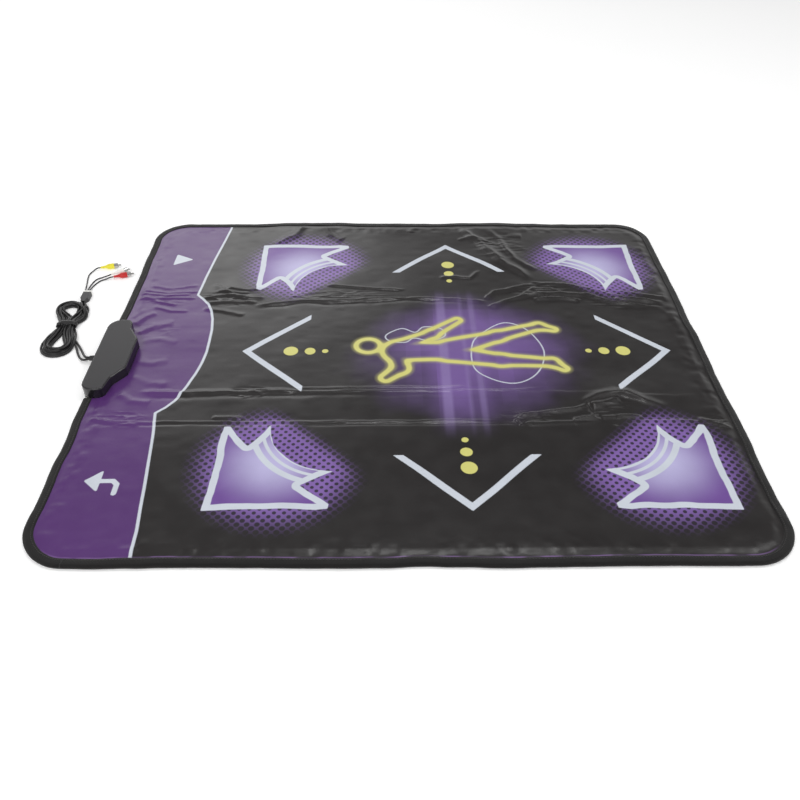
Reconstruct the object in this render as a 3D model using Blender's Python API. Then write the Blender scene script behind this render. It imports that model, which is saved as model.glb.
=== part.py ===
"""A dance mat with its control box and its audio and video cord, one object for each piece.

Lengths are in metres. +X points to the player's right, +Y away from the player, +Z up.
The origin is the middle of the mat's underside. The control box lies on the left edge.
"""

import math

import bmesh
import bpy
from mathutils import Matrix, Vector

MM = 0.001
GAP = 0.3 * MM  # between pieces that touch
REACH = 5 * MM  # how far a cutter runs past what it cuts
ARC_STEP = math.radians(20)

# The mat.
MAT_WIDTH = 930 * MM
MAT_DEPTH = 830 * MM
CORNER_RADIUS = 60 * MM
BACKING_THICKNESS = 1.2 * MM
FILM_THICKNESS = 0.3 * MM
SPACER_THICKNESS = 2.2 * MM
COVER_THICKNESS = 0.6 * MM
CREASE_GAP = 0.6 * MM
BINDING_WIDTH = 14 * MM
BINDING_TAPE = 0.5 * MM
BINDING_WEB = 1 * MM

# The step zones, three rows of three without the middle one, and the two menu zones.
MENU_BAND_WIDTH = 200 * MM  # from the mat's left edge to the first column
ZONE_RIGHT_MARGIN = 42 * MM
ZONE_END_MARGIN = 88 * MM
ZONE_GAP_X = 74 * MM
ZONE_DEPTH = 140 * MM
NEAR_CREASE_MARGIN = 12 * MM  # from a row of zones to its crease
FAR_CREASE_MARGIN = 48 * MM
ZONE_RADIUS = 18 * MM
ZONE_THICKNESS = 0.9 * MM
ZONE_SIDE_GAP = 0.4 * MM
SPACER_SIDE_GAP = 1.2 * MM
MENU_ZONE_SIDE_MARGIN = 28 * MM
MENU_ZONE_END_MARGIN = 77 * MM
MENU_ZONE_WIDTH = 84 * MM
MENU_ZONE_DEPTH = 126 * MM

# The control box. Its length runs along Y, over the mat's left edge.
BOX_OVERHANG = 4.5 * MM
BOX_FAR_Y = 65 * MM
BOX_WALL = 2 * MM
BOX_RIM = 1.2 * MM
BOX_CLEARANCE = 0.5 * MM
NEAR_NECK = 32.5 * MM  # the box's width at its near end
FAR_NECK = 35 * MM
NEAR_NECK_FLARE = 5 * MM
FAR_NECK_FLARE = 3 * MM
NEAR_SHOULDER = 27 * MM  # from the box's end to where its bulge starts
FAR_SHOULDER = 23 * MM
SHOULDER_RUN = 25 * MM
SHOULDER_RADIUS = 6 * MM
NEAR_LEFT_RADIUS = 16 * MM
NEAR_RIGHT_RADIUS = 8 * MM
FAR_RIGHT_RADIUS = 11 * MM
FAR_LEFT_RADIUS = 21 * MM

# What is in the box.
BATTERY_DIAMETER = 14.5 * MM
BATTERY_LENGTH = 50.5 * MM
BATTERY_COUNT = 3
BATTERY_LIFT = 1.5 * MM
BATTERY_HEAD_ROOM = 2 * MM
BATTERY_FROM_WALL = 9.25 * MM
BATTERY_FROM_BOARD = 1.75 * MM
BATTERY_FROM_FAR_END = 6.5 * MM
BATTERY_FROM_NEAR_END = 17.1 * MM
BATTERY_ROUNDING = 0.5 * MM
BATTERY_NUB_RADIUS = 2.6 * MM
BATTERY_NUB_LENGTH = 1 * MM
RIB_THICKNESS = 1.2 * MM
RIB_TOP = 2 * MM  # above the cells' axis
SPRING_LENGTH = 4 * MM
SPRING_FOOT_RADIUS = 3.2 * MM
SPRING_TIP_RADIUS = 2 * MM
CONTACT_THICKNESS = 0.6 * MM
CONTACT_WIDTH = 8 * MM
RIB_WIDTH = 9 * MM
DOOR_THICKNESS = 1.7 * MM
DOOR_SIDE = 0.75 * MM
DOOR_LUG_LENGTH = 9.5 * MM
DOOR_LUG_WIDTH = 9 * MM
LUG_ROOF = 1.5 * MM
DOOR_TAB_WIDTH = 2.5 * MM
DOOR_TAB_REACH = 2.5 * MM
DOOR_TAB_THICKNESS = 0.8 * MM
DOOR_TAB_INSET = 0.2 * MM
DOOR_TAB_ROOT = 2 * MM
DOOR_FAR_INSET = 1.5 * MM  # from the cells' far end
DOOR_SCREW_LENGTH = 6.5 * MM
BOARD_WIDTH = 21 * MM
BOARD_LENGTH = 53 * MM
BOARD_THICKNESS = 1.6 * MM
BOARD_LIFT = 8 * MM
BOARD_FROM_WALL = 4 * MM
BOARD_MIDDLE_Y = -24 * MM
STANDOFF_RADIUS = 2 * MM
STANDOFF_INSET = 9.5 * MM  # from the board's ends
STANDOFF_SHIFT = 2 * MM  # to the right of the board's middle
CHIP_SIZE = 8 * MM
CHIP_HEIGHT = 1.4 * MM
CHIP_FROM_EDGE = 1.5 * MM
CHIP_RADIUS = 3.2 * MM
CONNECTOR_WIDTH = 6 * MM
CONNECTOR_HEIGHT = 3 * MM
CONNECTOR_FROM_EDGE = 3 * MM
CONNECTOR_END = 2 * MM  # past the tail's sides
TAIL_WIDTH = 40 * MM
TAIL_RUN = 6 * MM
TAIL_BEND = 1.5 * MM
SCREW_HEAD_RADIUS = 2 * MM
SCREW_HEAD_HEIGHT = 0.7 * MM
SCREW_RADIUS = 1 * MM
SCREW_LENGTH = 9 * MM
SCREW_POINT = 1 * MM
BOSS_RADIUS = 2.6 * MM
BOSS_FROM_WALL = 1.8 * MM
BOSS_TOP = 2 * MM  # above the screw's point
NEAR_BOSS_Y = 23 * MM  # from the box's near end
FAR_BOSS_Y = 27 * MM
NEAR_BULGE_BOSS_Y = 2.5 * MM  # from the bulge's near end
FAR_BULGE_BOSS_Y = 8.5 * MM
SWITCH_Y = -46 * MM
SWITCH_TRAVEL = 2 * MM
SWITCH_KNOB = 3 * MM
SWITCH_KNOB_HEIGHT = 2.4 * MM
SWITCH_STAND = 2.6 * MM
SWITCH_Z = 10.5 * MM
SWITCH_LENGTH = 10 * MM
SWITCH_WIDTH = 6 * MM
SWITCH_HEIGHT = 5 * MM
SWITCH_REST_WIDTH = 4 * MM
SWITCH_REST_INSET = 1 * MM
KNOB_EASE = 0.4 * MM

# The cord.
GLAND_Y = -20 * MM
GLAND_Z = 8.5 * MM
GLAND_RADIUS = 4.4 * MM
GLAND_TIP_RADIUS = 3.9 * MM
GLAND_NECK_RADIUS = 2.8 * MM
GLAND_LENGTH = 12.5 * MM
GLAND_FLANGE = 1.2 * MM
GLAND_STRAIGHT = 6.9 * MM
CORD_DIAMETER = 3.6 * MM
LEAD_DIAMETER = 2.2 * MM
HANK_THICKNESS = 14 * MM
TIE_THICKNESS = 0.9 * MM
TIE_WIDTH = 7 * MM
SPLITTER_WIDTH = 13 * MM
SPLITTER_LENGTH = 31 * MM
SPLITTER_HEIGHT = 8 * MM
SPLITTER_NECK_LENGTH = 6 * MM
SPLITTER_NECK_WIDTH = 7 * MM
SPLITTER_SLOPE = 3 * MM
SPLITTER_NECK_RADIUS = 1 * MM
SPLITTER_RADIUS = 2 * MM
GRIP_LENGTH = 23.5 * MM
GRIP_RADIUS = 4.8 * MM
GRIP_ROUNDING = 0.5 * MM
GRIP_BOOT_RADIUS = 1.9 * MM
GRIP_BOOT_LENGTH = 9 * MM
GRIP_BOOT_FLARE = 0.7 * MM
GRIP_COLLAR_START = 12.7 * MM
GRIP_COLLAR_END = 15 * MM
PLUG_FLOOR = 1 * MM
PLUG_SHELL_RADIUS = 4.15 * MM
PLUG_SHELL_BORE = 3.6 * MM
PLUG_SHELL_LENGTH = 6.2 * MM
PLUG_PIN_RADIUS = 1.6 * MM
PLUG_PIN_LENGTH = 10.5 * MM

# Heights that follow from the layers.
FILM_BOTTOM = BACKING_THICKNESS + GAP
FILM_TOP = FILM_BOTTOM + FILM_THICKNESS
SPACER_BOTTOM = FILM_TOP + GAP
SPACER_TOP = SPACER_BOTTOM + SPACER_THICKNESS
COVER_BOTTOM = SPACER_TOP + GAP
COVER_TOP = COVER_BOTTOM + COVER_THICKNESS
MAT_TOP = COVER_TOP + GAP + BINDING_TAPE

# The creases and the zones follow from the mat's size and its margins.
NEAR_CREASE_Y = -MAT_DEPTH / 2 + ZONE_END_MARGIN + ZONE_DEPTH + NEAR_CREASE_MARGIN
FAR_CREASE_Y = MAT_DEPTH / 2 - ZONE_END_MARGIN - ZONE_DEPTH - FAR_CREASE_MARGIN
ZONE_FIELD_LEFT = -MAT_WIDTH / 2 + MENU_BAND_WIDTH
ZONE_FIELD_RIGHT = MAT_WIDTH / 2 - ZONE_RIGHT_MARGIN
ZONE_WIDTH = (ZONE_FIELD_RIGHT - ZONE_FIELD_LEFT - 2 * ZONE_GAP_X) / 3
ZONE_CENTRE_X = (ZONE_FIELD_LEFT + ZONE_FIELD_RIGHT) / 2
ZONE_PITCH_X = ZONE_WIDTH + ZONE_GAP_X
ZONE_PITCH_Y = MAT_DEPTH / 2 - ZONE_END_MARGIN - ZONE_DEPTH / 2
MENU_ZONE_X = -MAT_WIDTH / 2 + MENU_ZONE_SIDE_MARGIN + MENU_ZONE_WIDTH / 2
MENU_ZONE_Y = MAT_DEPTH / 2 - MENU_ZONE_END_MARGIN - MENU_ZONE_DEPTH / 2

# The box's size and places follow from what it holds.
BOX_ROOM = BATTERY_FROM_WALL + BATTERY_DIAMETER + BATTERY_FROM_BOARD + BOARD_WIDTH + BOARD_FROM_WALL
BOX_HEIGHT = 2 * BOX_WALL + BATTERY_LIFT + BATTERY_DIAMETER + BATTERY_HEAD_ROOM
BOX_LEFT = -MAT_WIDTH / 2 - BOX_OVERHANG
BOX_RIGHT = BOX_LEFT + BOX_ROOM + 2 * BOX_WALL
BOX_SEAM = COVER_BOTTOM - GAP
BOX_INNER_TOP = BOX_HEIGHT - BOX_WALL
BOX_INNER_LEFT = BOX_LEFT + BOX_WALL
BOX_INNER_RIGHT = BOX_RIGHT - BOX_WALL
BATTERY_X = BOX_INNER_LEFT + BATTERY_FROM_WALL + BATTERY_DIAMETER / 2
BATTERY_Z = BOX_WALL + BATTERY_LIFT + BATTERY_DIAMETER / 2
BATTERY_FAR_Y = BOX_FAR_Y - BATTERY_FROM_FAR_END
BATTERY_NEAR_Y = BATTERY_FAR_Y - BATTERY_COUNT * (BATTERY_LENGTH + GAP)
BOX_NEAR_Y = BATTERY_NEAR_Y - BATTERY_FROM_NEAR_END
DOOR_FAR_Y = BATTERY_FAR_Y - DOOR_FAR_INSET
DOOR_NEAR_Y = BATTERY_NEAR_Y - SPRING_LENGTH
DOOR_HALF = BATTERY_DIAMETER / 2 + DOOR_SIDE
DOOR_SCREW_Y = DOOR_NEAR_Y - DOOR_LUG_LENGTH / 2
BOARD_RIGHT = BOX_INNER_RIGHT - BOARD_FROM_WALL
BOARD_TOP = BOARD_LIFT + BOARD_THICKNESS
TAIL_NEAR_Y = BOARD_MIDDLE_Y - TAIL_WIDTH / 2
TAIL_FAR_Y = BOARD_MIDDLE_Y + TAIL_WIDTH / 2
GLAND_END_X = BOX_LEFT - GAP - GLAND_LENGTH

# The cord's places are counted from the gland's end, where it leaves.
CORD_START = Vector((GLAND_END_X, GLAND_Y, 0))
CORD_SIDE = (CORD_DIAMETER + GAP) / 2 / MM  # each cord's place beside the gland's middle

# The routes and places below are in millimetres.
VIDEO_CORD_ROUTE = (
    (-0.4, CORD_SIDE, 8.5),
    (-4.0, CORD_SIDE, 8.4),
    (-9.8, 7.0, 4.6),
    (-15.5, 17.5, 2.1),
    (-25.0, 33.5, 1.9),
    (-32.5, 46.5, 1.9),
    (-37.0, 54.3, 1.9),
)
AUDIO_CORD_ROUTE = (
    (-0.4, -CORD_SIDE, 8.5),
    (-4.0, -CORD_SIDE, 8.4),
    (-10.8, -0.9, 4.4),
    (-17.0, 7.0, 2.0),
    (-24.5, 20.0, 1.9),
    (-30.5, 32.0, 1.9),
    (-36.0, 45.0, 1.9),
)
HANK_OUTLINE = (
    (-62, 12.5),
    (-50, 14),
    (-41, 26),
    (-38, 46),
    (-42, 67),
    (-51, 91),
    (-42.5, 110),
    (-42, 130),
    (-50, 149),
    (-62, 161),
    (-78, 168),
    (-90, 163),
    (-93, 148),
    (-88, 124),
    (-78, 96),
    (-86, 68),
    (-90, 42),
    (-80, 20),
)
WAIST = Vector((-64.5, 93.5))
WAIST_HALF_WIDTH = 16.5
SPLITTER_FOOT = (-58, 161.0)
LEAD_ROUTES = {
    "yellow": (
        (-62.6, 193.2, 3.6),
        (-66.0, 203.0, 2.8),
        (-69.5, 221.0, 1.3),
        (-73.5, 242.0, 1.3),
        (-74.5, 255.0, 1.3),
        (-71.0, 266.0, 1.8),
    ),
    "white": (
        (-59.6, 193.2, 3.6),
        (-62.0, 205.0, 2.4),
        (-61.5, 223.0, 1.3),
        (-57.5, 238.0, 1.3),
        (-49.0, 245.0, 1.6),
    ),
    "red": (
        (-56.6, 193.2, 3.6),
        (-58.0, 205.0, 2.4),
        (-56.0, 220.0, 1.3),
        (-49.5, 233.5, 1.3),
        (-41.5, 239.0, 1.7),
    ),
}
PLUG_HEIGHT = 4.9
PLUG_ENTRY = 6.0  # how far before its plug a lead is in line with it
LEAD_DROP = 0.4
PLUG_PLACES = {
    "yellow": ((-58.8, 273.1), 15.7),
    "white": ((-34.2, 249.7), 34.8),
    "red": ((-27.9, 242.1), 18.9),
}

FINISHES = {
    "printed_vinyl": ((0.045, 0.043, 0.047), 0.35, 0.0),
    "purple_vinyl": ((0.13, 0.065, 0.21), 0.35, 0.0),
    "zone_vinyl": ((0.06, 0.045, 0.09), 0.35, 0.0),
    "foam": ((0.75, 0.75, 0.72), 0.9, 0.0),
    "film": ((0.6, 0.62, 0.6), 0.3, 0.0),
    "backing_cloth": ((0.03, 0.03, 0.035), 0.9, 0.0),
    "binding_tape": ((0.028, 0.026, 0.024), 0.8, 0.0),
    "box_plastic": ((0.075, 0.073, 0.078), 0.45, 0.0),
    "black_plastic": ((0.02, 0.02, 0.02), 0.4, 0.0),
    "circuit_board": ((0.03, 0.2, 0.07), 0.45, 0.0),
    "white_plastic": ((0.8, 0.8, 0.78), 0.4, 0.0),
    "yellow_plastic": ((0.85, 0.75, 0.05), 0.35, 0.0),
    "red_plastic": ((0.7, 0.03, 0.02), 0.35, 0.0),
    "battery_case": ((0.25, 0.3, 0.35), 0.35, 0.4),
    "steel": ((0.6, 0.6, 0.6), 0.3, 1.0),
    "cord_rubber": ((0.02, 0.02, 0.02), 0.5, 0.0),
    "splitter_rubber": ((0.07, 0.07, 0.07), 0.5, 0.0),
}


def finish(name):
    """The material of this name, made the first time that it is asked for."""
    material = bpy.data.materials.get(name)
    if material is None:
        colour, roughness, metallic = FINISHES[name]
        material = bpy.data.materials.new(name)
        material.use_nodes = True
        shader = material.node_tree.nodes["Principled BSDF"]
        shader.inputs["Base Color"].default_value = (*colour, 1)
        shader.inputs["Roughness"].default_value = roughness
        shader.inputs["Metallic"].default_value = metallic
    return material


def add_piece(name, bm, finish_name):
    """Turns a bmesh into an object of the scene."""
    bmesh.ops.recalc_face_normals(bm, faces=bm.faces)
    mesh = bpy.data.meshes.new(name)
    bm.to_mesh(mesh)
    bm.free()
    mesh.materials.append(finish(finish_name))
    piece = bpy.data.objects.new(name, mesh)
    bpy.context.scene.collection.objects.link(piece)
    return piece


def use_tool(piece, tool, operation):
    """Cuts a tool from a piece, or joins it on, and keeps the tool out of the render."""
    tool.hide_render = True
    tool.display_type = "WIRE"
    modifier = piece.modifiers.new(f"{operation.lower()}_{tool.name}", "BOOLEAN")
    modifier.operation = operation
    modifier.object = tool


def cut(piece, *tools):
    for tool in tools:
        use_tool(piece, tool, "DIFFERENCE")


def join(piece, *tools):
    for tool in tools:
        use_tool(piece, tool, "UNION")


def filleted(corners):
    """The outline of a polygon given as (x, y, radius), its corners rounded by arcs."""
    spots = [Vector((x, y)) for x, y, _ in corners]
    outline = []
    for i, spot in enumerate(spots):
        radius = corners[i][2]
        if radius <= 0:
            outline.append(spot)
            continue
        back = (spots[i - 1] - spot).normalized()
        ahead = (spots[(i + 1) % len(spots)] - spot).normalized()
        half = back.angle(ahead) / 2
        centre = spot + (back + ahead).normalized() * radius / math.sin(half)
        start = spot + back * radius / math.tan(half) - centre
        end = spot + ahead * radius / math.tan(half) - centre
        first = math.atan2(start.y, start.x)
        turn = math.remainder(math.atan2(end.y, end.x) - first, math.tau)
        steps = max(2, math.ceil(abs(turn) / ARC_STEP))
        for step in range(steps + 1):
            angle = first + turn * step / steps
            outline.append(centre + radius * Vector((math.cos(angle), math.sin(angle))))
    return outline


def inset(corners, distance):
    """The corners of a polygon, run anticlockwise, moved inwards by a distance."""
    spots = [Vector((x, y)) for x, y, _ in corners]
    moved = []
    for i, spot in enumerate(spots):
        back = (spot - spots[i - 1]).normalized()
        ahead = (spots[(i + 1) % len(spots)] - spot).normalized()
        inward = Vector((-back.y, back.x)) + Vector((-ahead.y, ahead.x))
        inward /= 1 + back.dot(ahead)
        place = spot + inward * distance
        bend = distance if back.cross(ahead) > 0 else -distance
        moved.append((place.x, place.y, max(corners[i][2] - bend, 0)))
    return moved


def slab(name, outline, bottom, top, finish_name="steel"):
    """A flat piece of one outline."""
    bm = bmesh.new()
    face = bm.faces.new([bm.verts.new((x, y, bottom)) for x, y in outline])
    grown = bmesh.ops.extrude_face_region(bm, geom=[face])["geom"]
    raised = [v for v in grown if isinstance(v, bmesh.types.BMVert)]
    bmesh.ops.translate(bm, verts=raised, vec=(0, 0, top - bottom))
    return add_piece(name, bm, finish_name)


def block(name, low, high, finish_name="steel"):
    """A box between two corners."""
    outline = [(low[0], low[1]), (high[0], low[1]), (high[0], high[1]), (low[0], high[1])]
    return slab(name, outline, low[2], high[2], finish_name)


def rod(name, x, y, radius, bottom, top, finish_name="steel"):
    """An upright cylinder."""
    bm = bmesh.new()
    place = Matrix.Translation((x, y, (bottom + top) / 2))
    size = {"radius1": radius, "radius2": radius, "depth": top - bottom}
    bmesh.ops.create_cone(bm, cap_ends=True, segments=16, matrix=place, **size)
    return add_piece(name, bm, finish_name)


def turned(name, profile, finish_name="steel", segments=16):
    """A piece turned about its own X axis from (x, radius) points that start and end on the axis."""
    bm = bmesh.new()
    points = [bm.verts.new((x, radius, 0)) for x, radius in profile]
    edges = [bm.edges.new(pair) for pair in zip(points, points[1:])]
    whole = {"angle": math.tau, "steps": segments, "use_merge": True}
    bmesh.ops.spin(bm, geom=points + edges, cent=(0, 0, 0), axis=(1, 0, 0), **whole)
    bmesh.ops.remove_doubles(bm, verts=bm.verts, dist=MM / 1000)
    piece = add_piece(name, bm, finish_name)
    piece.data.shade_smooth()
    piece.data.set_sharp_from_angle(angle=math.radians(35))
    return piece


def smooth_route(route, spacing):
    """Points a spacing apart on a smooth curve through a route's own points."""
    ends = [2 * route[0] - route[1], *route, 2 * route[-1] - route[-2]]
    points = []
    for before, start, end, after in zip(ends, ends[1:], ends[2:], ends[3:]):
        steps = max(1, round((end - start).length / spacing))
        for step in range(steps):
            t = step / steps
            pull_start = (end - before) / 2
            pull_end = (after - start) / 2
            points.append(
                start * (2 * t**3 - 3 * t**2 + 1)
                + pull_start * (t**3 - 2 * t**2 + t)
                + end * (3 * t**2 - 2 * t**3)
                + pull_end * (t**3 - t**2)
            )
    points.append(route[-1])
    return points


def from_gland(x, y, z=0.0):
    """A place on the floor plan that is counted in millimetres from the gland's end."""
    return CORD_START + Vector((x, y, z)) * MM


def lead_route(colour):
    """A lead's route, with its last stretch in line with the plug that it enters."""
    (x, y), turn = PLUG_PLACES[colour]
    ahead = Vector((math.cos(math.radians(turn)), math.sin(math.radians(turn))))
    foot = Vector((x, y))
    near = foot - ahead * PLUG_ENTRY
    end = foot - ahead * GAP / MM
    return [*LEAD_ROUTES[colour], (*near, PLUG_HEIGHT - LEAD_DROP), (*end, PLUG_HEIGHT)]


def tube(name, route, diameter, finish_name):
    """A cord along a route."""
    curve = bpy.data.curves.new(name, "CURVE")
    curve.dimensions = "3D"
    curve.bevel_depth = diameter / 2
    curve.bevel_resolution = 2
    curve.use_fill_caps = True
    points = smooth_route([from_gland(*spot) for spot in route], 2.5 * diameter)
    spline = curve.splines.new("POLY")
    spline.points.add(len(points) - 1)
    for spot, point in zip(spline.points, points):
        spot.co = (*point, 1)
    curve.materials.append(finish(finish_name))
    piece = bpy.data.objects.new(name, curve)
    bpy.context.scene.collection.objects.link(piece)
    return piece


def panel_corners(panel, side_inset):
    """The corners of one of the mat's panels, moved in at the mat's own edges only."""
    side = MAT_WIDTH / 2 - side_inset
    radius = CORNER_RADIUS - side_inset
    edge = MAT_DEPTH / 2 - side_inset
    half_gap = CREASE_GAP / 2
    if panel == "near":
        low, high = (-edge, radius), (NEAR_CREASE_Y - half_gap, 0)
    elif panel == "middle":
        low, high = (NEAR_CREASE_Y + half_gap, 0), (FAR_CREASE_Y - half_gap, 0)
    else:
        low, high = (FAR_CREASE_Y + half_gap, 0), (edge, radius)
    return [(-side, *low), (side, *low), (side, *high), (-side, *high)]


def rectangle(x, y, width, depth, radius):
    """The corners of a rectangle about its middle, each with its radius."""
    left, right = x - width / 2, x + width / 2
    near, far = y - depth / 2, y + depth / 2
    return [(left, near, radius), (right, near, radius), (right, far, radius), (left, far, radius)]


def zone_corners(x, y, width, depth, grow=0.0):
    return rectangle(x, y, width + 2 * grow, depth + 2 * grow, ZONE_RADIUS + grow)


def zones_of(panel):
    """The step zones of a panel, as name to place and size."""
    row = {"near": -1, "middle": 0, "far": 1}[panel]
    zones = {}
    for column, side in ((-1, "left"), (0, "centre"), (1, "right")):
        if row == 0 and column == 0:
            continue
        place = (ZONE_CENTRE_X + column * ZONE_PITCH_X, row * ZONE_PITCH_Y)
        zones[f"step_zone_{panel}_{side}"] = (*place, ZONE_WIDTH, ZONE_DEPTH)
    if row:
        name = "start_zone" if row > 0 else "back_zone"
        zones[name] = (MENU_ZONE_X, row * MENU_ZONE_Y, MENU_ZONE_WIDTH, MENU_ZONE_DEPTH)
    return zones


def box_corners(distance=0.0):
    """The control box's outline: a straight left side, two necks and a bulge over the mat."""
    near_shoulder = BOX_NEAR_Y + NEAR_SHOULDER
    far_shoulder = BOX_FAR_Y - FAR_SHOULDER
    corners = [
        (BOX_LEFT, BOX_NEAR_Y, NEAR_LEFT_RADIUS),
        (BOX_LEFT + NEAR_NECK, BOX_NEAR_Y, NEAR_RIGHT_RADIUS),
        (BOX_LEFT + NEAR_NECK + NEAR_NECK_FLARE, near_shoulder, SHOULDER_RADIUS),
        (BOX_RIGHT, near_shoulder + SHOULDER_RUN, SHOULDER_RADIUS),
        (BOX_RIGHT, far_shoulder - SHOULDER_RUN - FAR_NECK_FLARE, SHOULDER_RADIUS),
        (BOX_LEFT + FAR_NECK + FAR_NECK_FLARE, far_shoulder, SHOULDER_RADIUS),
        (BOX_LEFT + FAR_NECK, BOX_FAR_Y, FAR_RIGHT_RADIUS),
        (BOX_LEFT, BOX_FAR_Y, FAR_LEFT_RADIUS),
    ]
    return inset(corners, distance)


def build_backing(panel):
    """The non-slip backing, whose edge is thinner where the binding folds under it."""
    inner = filleted(panel_corners(panel, BINDING_WIDTH + GAP))
    edge = filleted(panel_corners(panel, BINDING_WEB + GAP))
    backing = slab(f"backing_{panel}", edge, BINDING_TAPE + GAP, BACKING_THICKNESS, "backing_cloth")
    under = (BINDING_TAPE + GAP + BACKING_THICKNESS) / 2
    join(backing, slab(f"join_backing_{panel}", inner, 0, under))
    return backing


def build_binding(name, panel, sides):
    """The folded tape round a panel's outer edge, as its section swept along the edge."""
    section = (
        (0, 0),
        (0, MAT_TOP),
        (BINDING_WIDTH, MAT_TOP),
        (BINDING_WIDTH, MAT_TOP - BINDING_TAPE),
        (BINDING_WEB, MAT_TOP - BINDING_TAPE),
        (BINDING_WEB, BINDING_TAPE),
        (BINDING_WIDTH, BINDING_TAPE),
        (BINDING_WIDTH, 0),
    )
    lines = [sides(filleted(panel_corners(panel, distance))) for distance, _ in section]
    bm = bmesh.new()
    rings = [
        [bm.verts.new((*line[step], z)) for line, (_, z) in zip(lines, section)]
        for step in range(len(lines[0]))
    ]
    for before, after in zip(rings, rings[1:]):
        for k in range(len(section)):
            bm.faces.new((before[k - 1], before[k], after[k], after[k - 1]))
    bm.faces.new(rings[0])
    bm.faces.new(rings[-1])
    return add_piece(name, bm, "binding_tape")


def build_panel(panel):
    """The layers of one panel, from the backing up, and the zones that the feet press."""
    build_backing(panel)
    edge = filleted(panel_corners(panel, BINDING_WEB + GAP))
    film = slab(f"contact_film_{panel}", edge, FILM_BOTTOM, FILM_TOP, "film")
    spacer = slab(f"foam_spacer_{panel}", edge, SPACER_BOTTOM, SPACER_TOP, "foam")
    cover = slab(f"top_cover_{panel}", edge, COVER_BOTTOM, COVER_TOP, "printed_vinyl")
    for name, zone in zones_of(panel).items():
        window = filleted(zone_corners(*zone, ZONE_SIDE_GAP))
        room = filleted(zone_corners(*zone, SPACER_SIDE_GAP))
        cut(cover, slab(f"cut_{name}", window, COVER_BOTTOM - REACH, COVER_TOP + REACH))
        cut(spacer, slab(f"room_{name}", room, SPACER_BOTTOM - REACH, SPACER_TOP + REACH))
        colour = "zone_vinyl" if name.startswith("step") else "purple_vinyl"
        pad = filleted(zone_corners(*zone))
        slab(name, pad, COVER_TOP - ZONE_THICKNESS, COVER_TOP, colour)
    return film, spacer, cover


def build_mat():
    """The three panels and their binding, notched for the control box."""
    build_panel("near")
    build_panel("far")
    film, spacer, cover = build_panel("middle")
    build_binding("edge_binding_near", "near", lambda line: line[-1:] + line[:-1])
    build_binding("edge_binding_far", "far", lambda line: line[1:] + line[:1])
    build_binding("edge_binding_right", "middle", lambda line: line[1:3])
    notch = slab("cut_notch", filleted(box_corners(-BOX_CLEARANCE)), -REACH, MAT_TOP + REACH)
    clamped = filleted(box_corners(BOX_WALL - GAP))
    for layer in (bpy.data.objects["backing_middle"], film, spacer):
        cut(layer, notch)
    cut(cover, slab("cut_cover_notch", clamped, -REACH, MAT_TOP + REACH))
    tail_room = block(
        "cut_tail_room",
        (BOX_INNER_RIGHT, TAIL_NEAR_Y - GAP, -REACH),
        (BOX_RIGHT + TAIL_RUN, TAIL_FAR_Y + GAP, MAT_TOP),
    )
    cut(film, tail_room)
    cut(spacer, tail_room)
    middle = (BOX_NEAR_Y + BOX_FAR_Y) / 2
    side = MAT_WIDTH / 2 + REACH
    for end, low, high in (("near", middle, MAT_DEPTH), ("far", -MAT_DEPTH, middle)):
        piece = build_binding(f"edge_binding_left_{end}", "middle", lambda line: [line[3], line[0]])
        other_end = block(f"cut_binding_{end}", (-side, low, -REACH), (0, high, MAT_TOP + REACH))
        cut(piece, other_end, notch)


def build_upper_shell():
    """The upper shell: the walls, the roof, the screw bosses and the openings in the left wall."""
    shell = slab("box_upper_shell", filleted(box_corners()), BOX_SEAM + GAP, BOX_HEIGHT, "box_plastic")
    bevel = shell.modifiers.new("rim", "BEVEL")
    bevel.width = BOX_RIM
    bevel.segments = 2
    bevel.limit_method = "WEIGHT"
    weights = shell.data.attributes.new("bevel_weight_edge", "FLOAT", "EDGE")
    for edge in shell.data.edges:
        ends = [shell.data.vertices[v].co.z for v in edge.vertices]
        weights.data[edge.index].value = float(min(ends) > BOX_INNER_TOP)
    room = slab("cut_upper_room", filleted(box_corners(BOX_WALL)), 0, BOX_INNER_TOP)
    cut(shell, room)
    for i, (x, y) in enumerate(screw_places()):
        join(shell, rod(f"join_boss_{i}", x, y, BOSS_RADIUS, BOX_WALL + GAP, BOX_INNER_TOP + MM))
        cut(shell, rod(f"cut_pilot_{i}", x, y, SCREW_RADIUS + GAP, 0, SCREW_LENGTH + BOSS_TOP))
    slot = block(
        "cut_cover_slot",
        (-MAT_WIDTH / 2, BOX_NEAR_Y - REACH, 0),
        (BOX_RIGHT + REACH, BOX_FAR_Y + REACH, COVER_TOP + GAP),
    )
    cut(slot, slab("keep_inside", filleted(box_corners(BOX_WALL)), -REACH, MAT_TOP + REACH))
    cut(shell, slot)
    half = (SWITCH_KNOB + SWITCH_TRAVEL) / 2 + GAP
    half_height = SWITCH_KNOB_HEIGHT / 2 + GAP
    switch_slot = block(
        "cut_switch_slot",
        (BOX_LEFT - REACH, SWITCH_Y - half, SWITCH_Z - half_height),
        (BOX_INNER_LEFT + GAP, SWITCH_Y + half, SWITCH_Z + half_height),
    )
    hole_radius = GLAND_NECK_RADIUS + GAP
    hole_depth = BOX_WALL + 2 * REACH
    hole = turned("cut_gland_hole", [(0, 0), (0, hole_radius), (hole_depth, hole_radius), (hole_depth, 0)])
    hole.location = (BOX_LEFT - REACH, GLAND_Y, GLAND_Z)
    cut(shell, switch_slot, hole)


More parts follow.
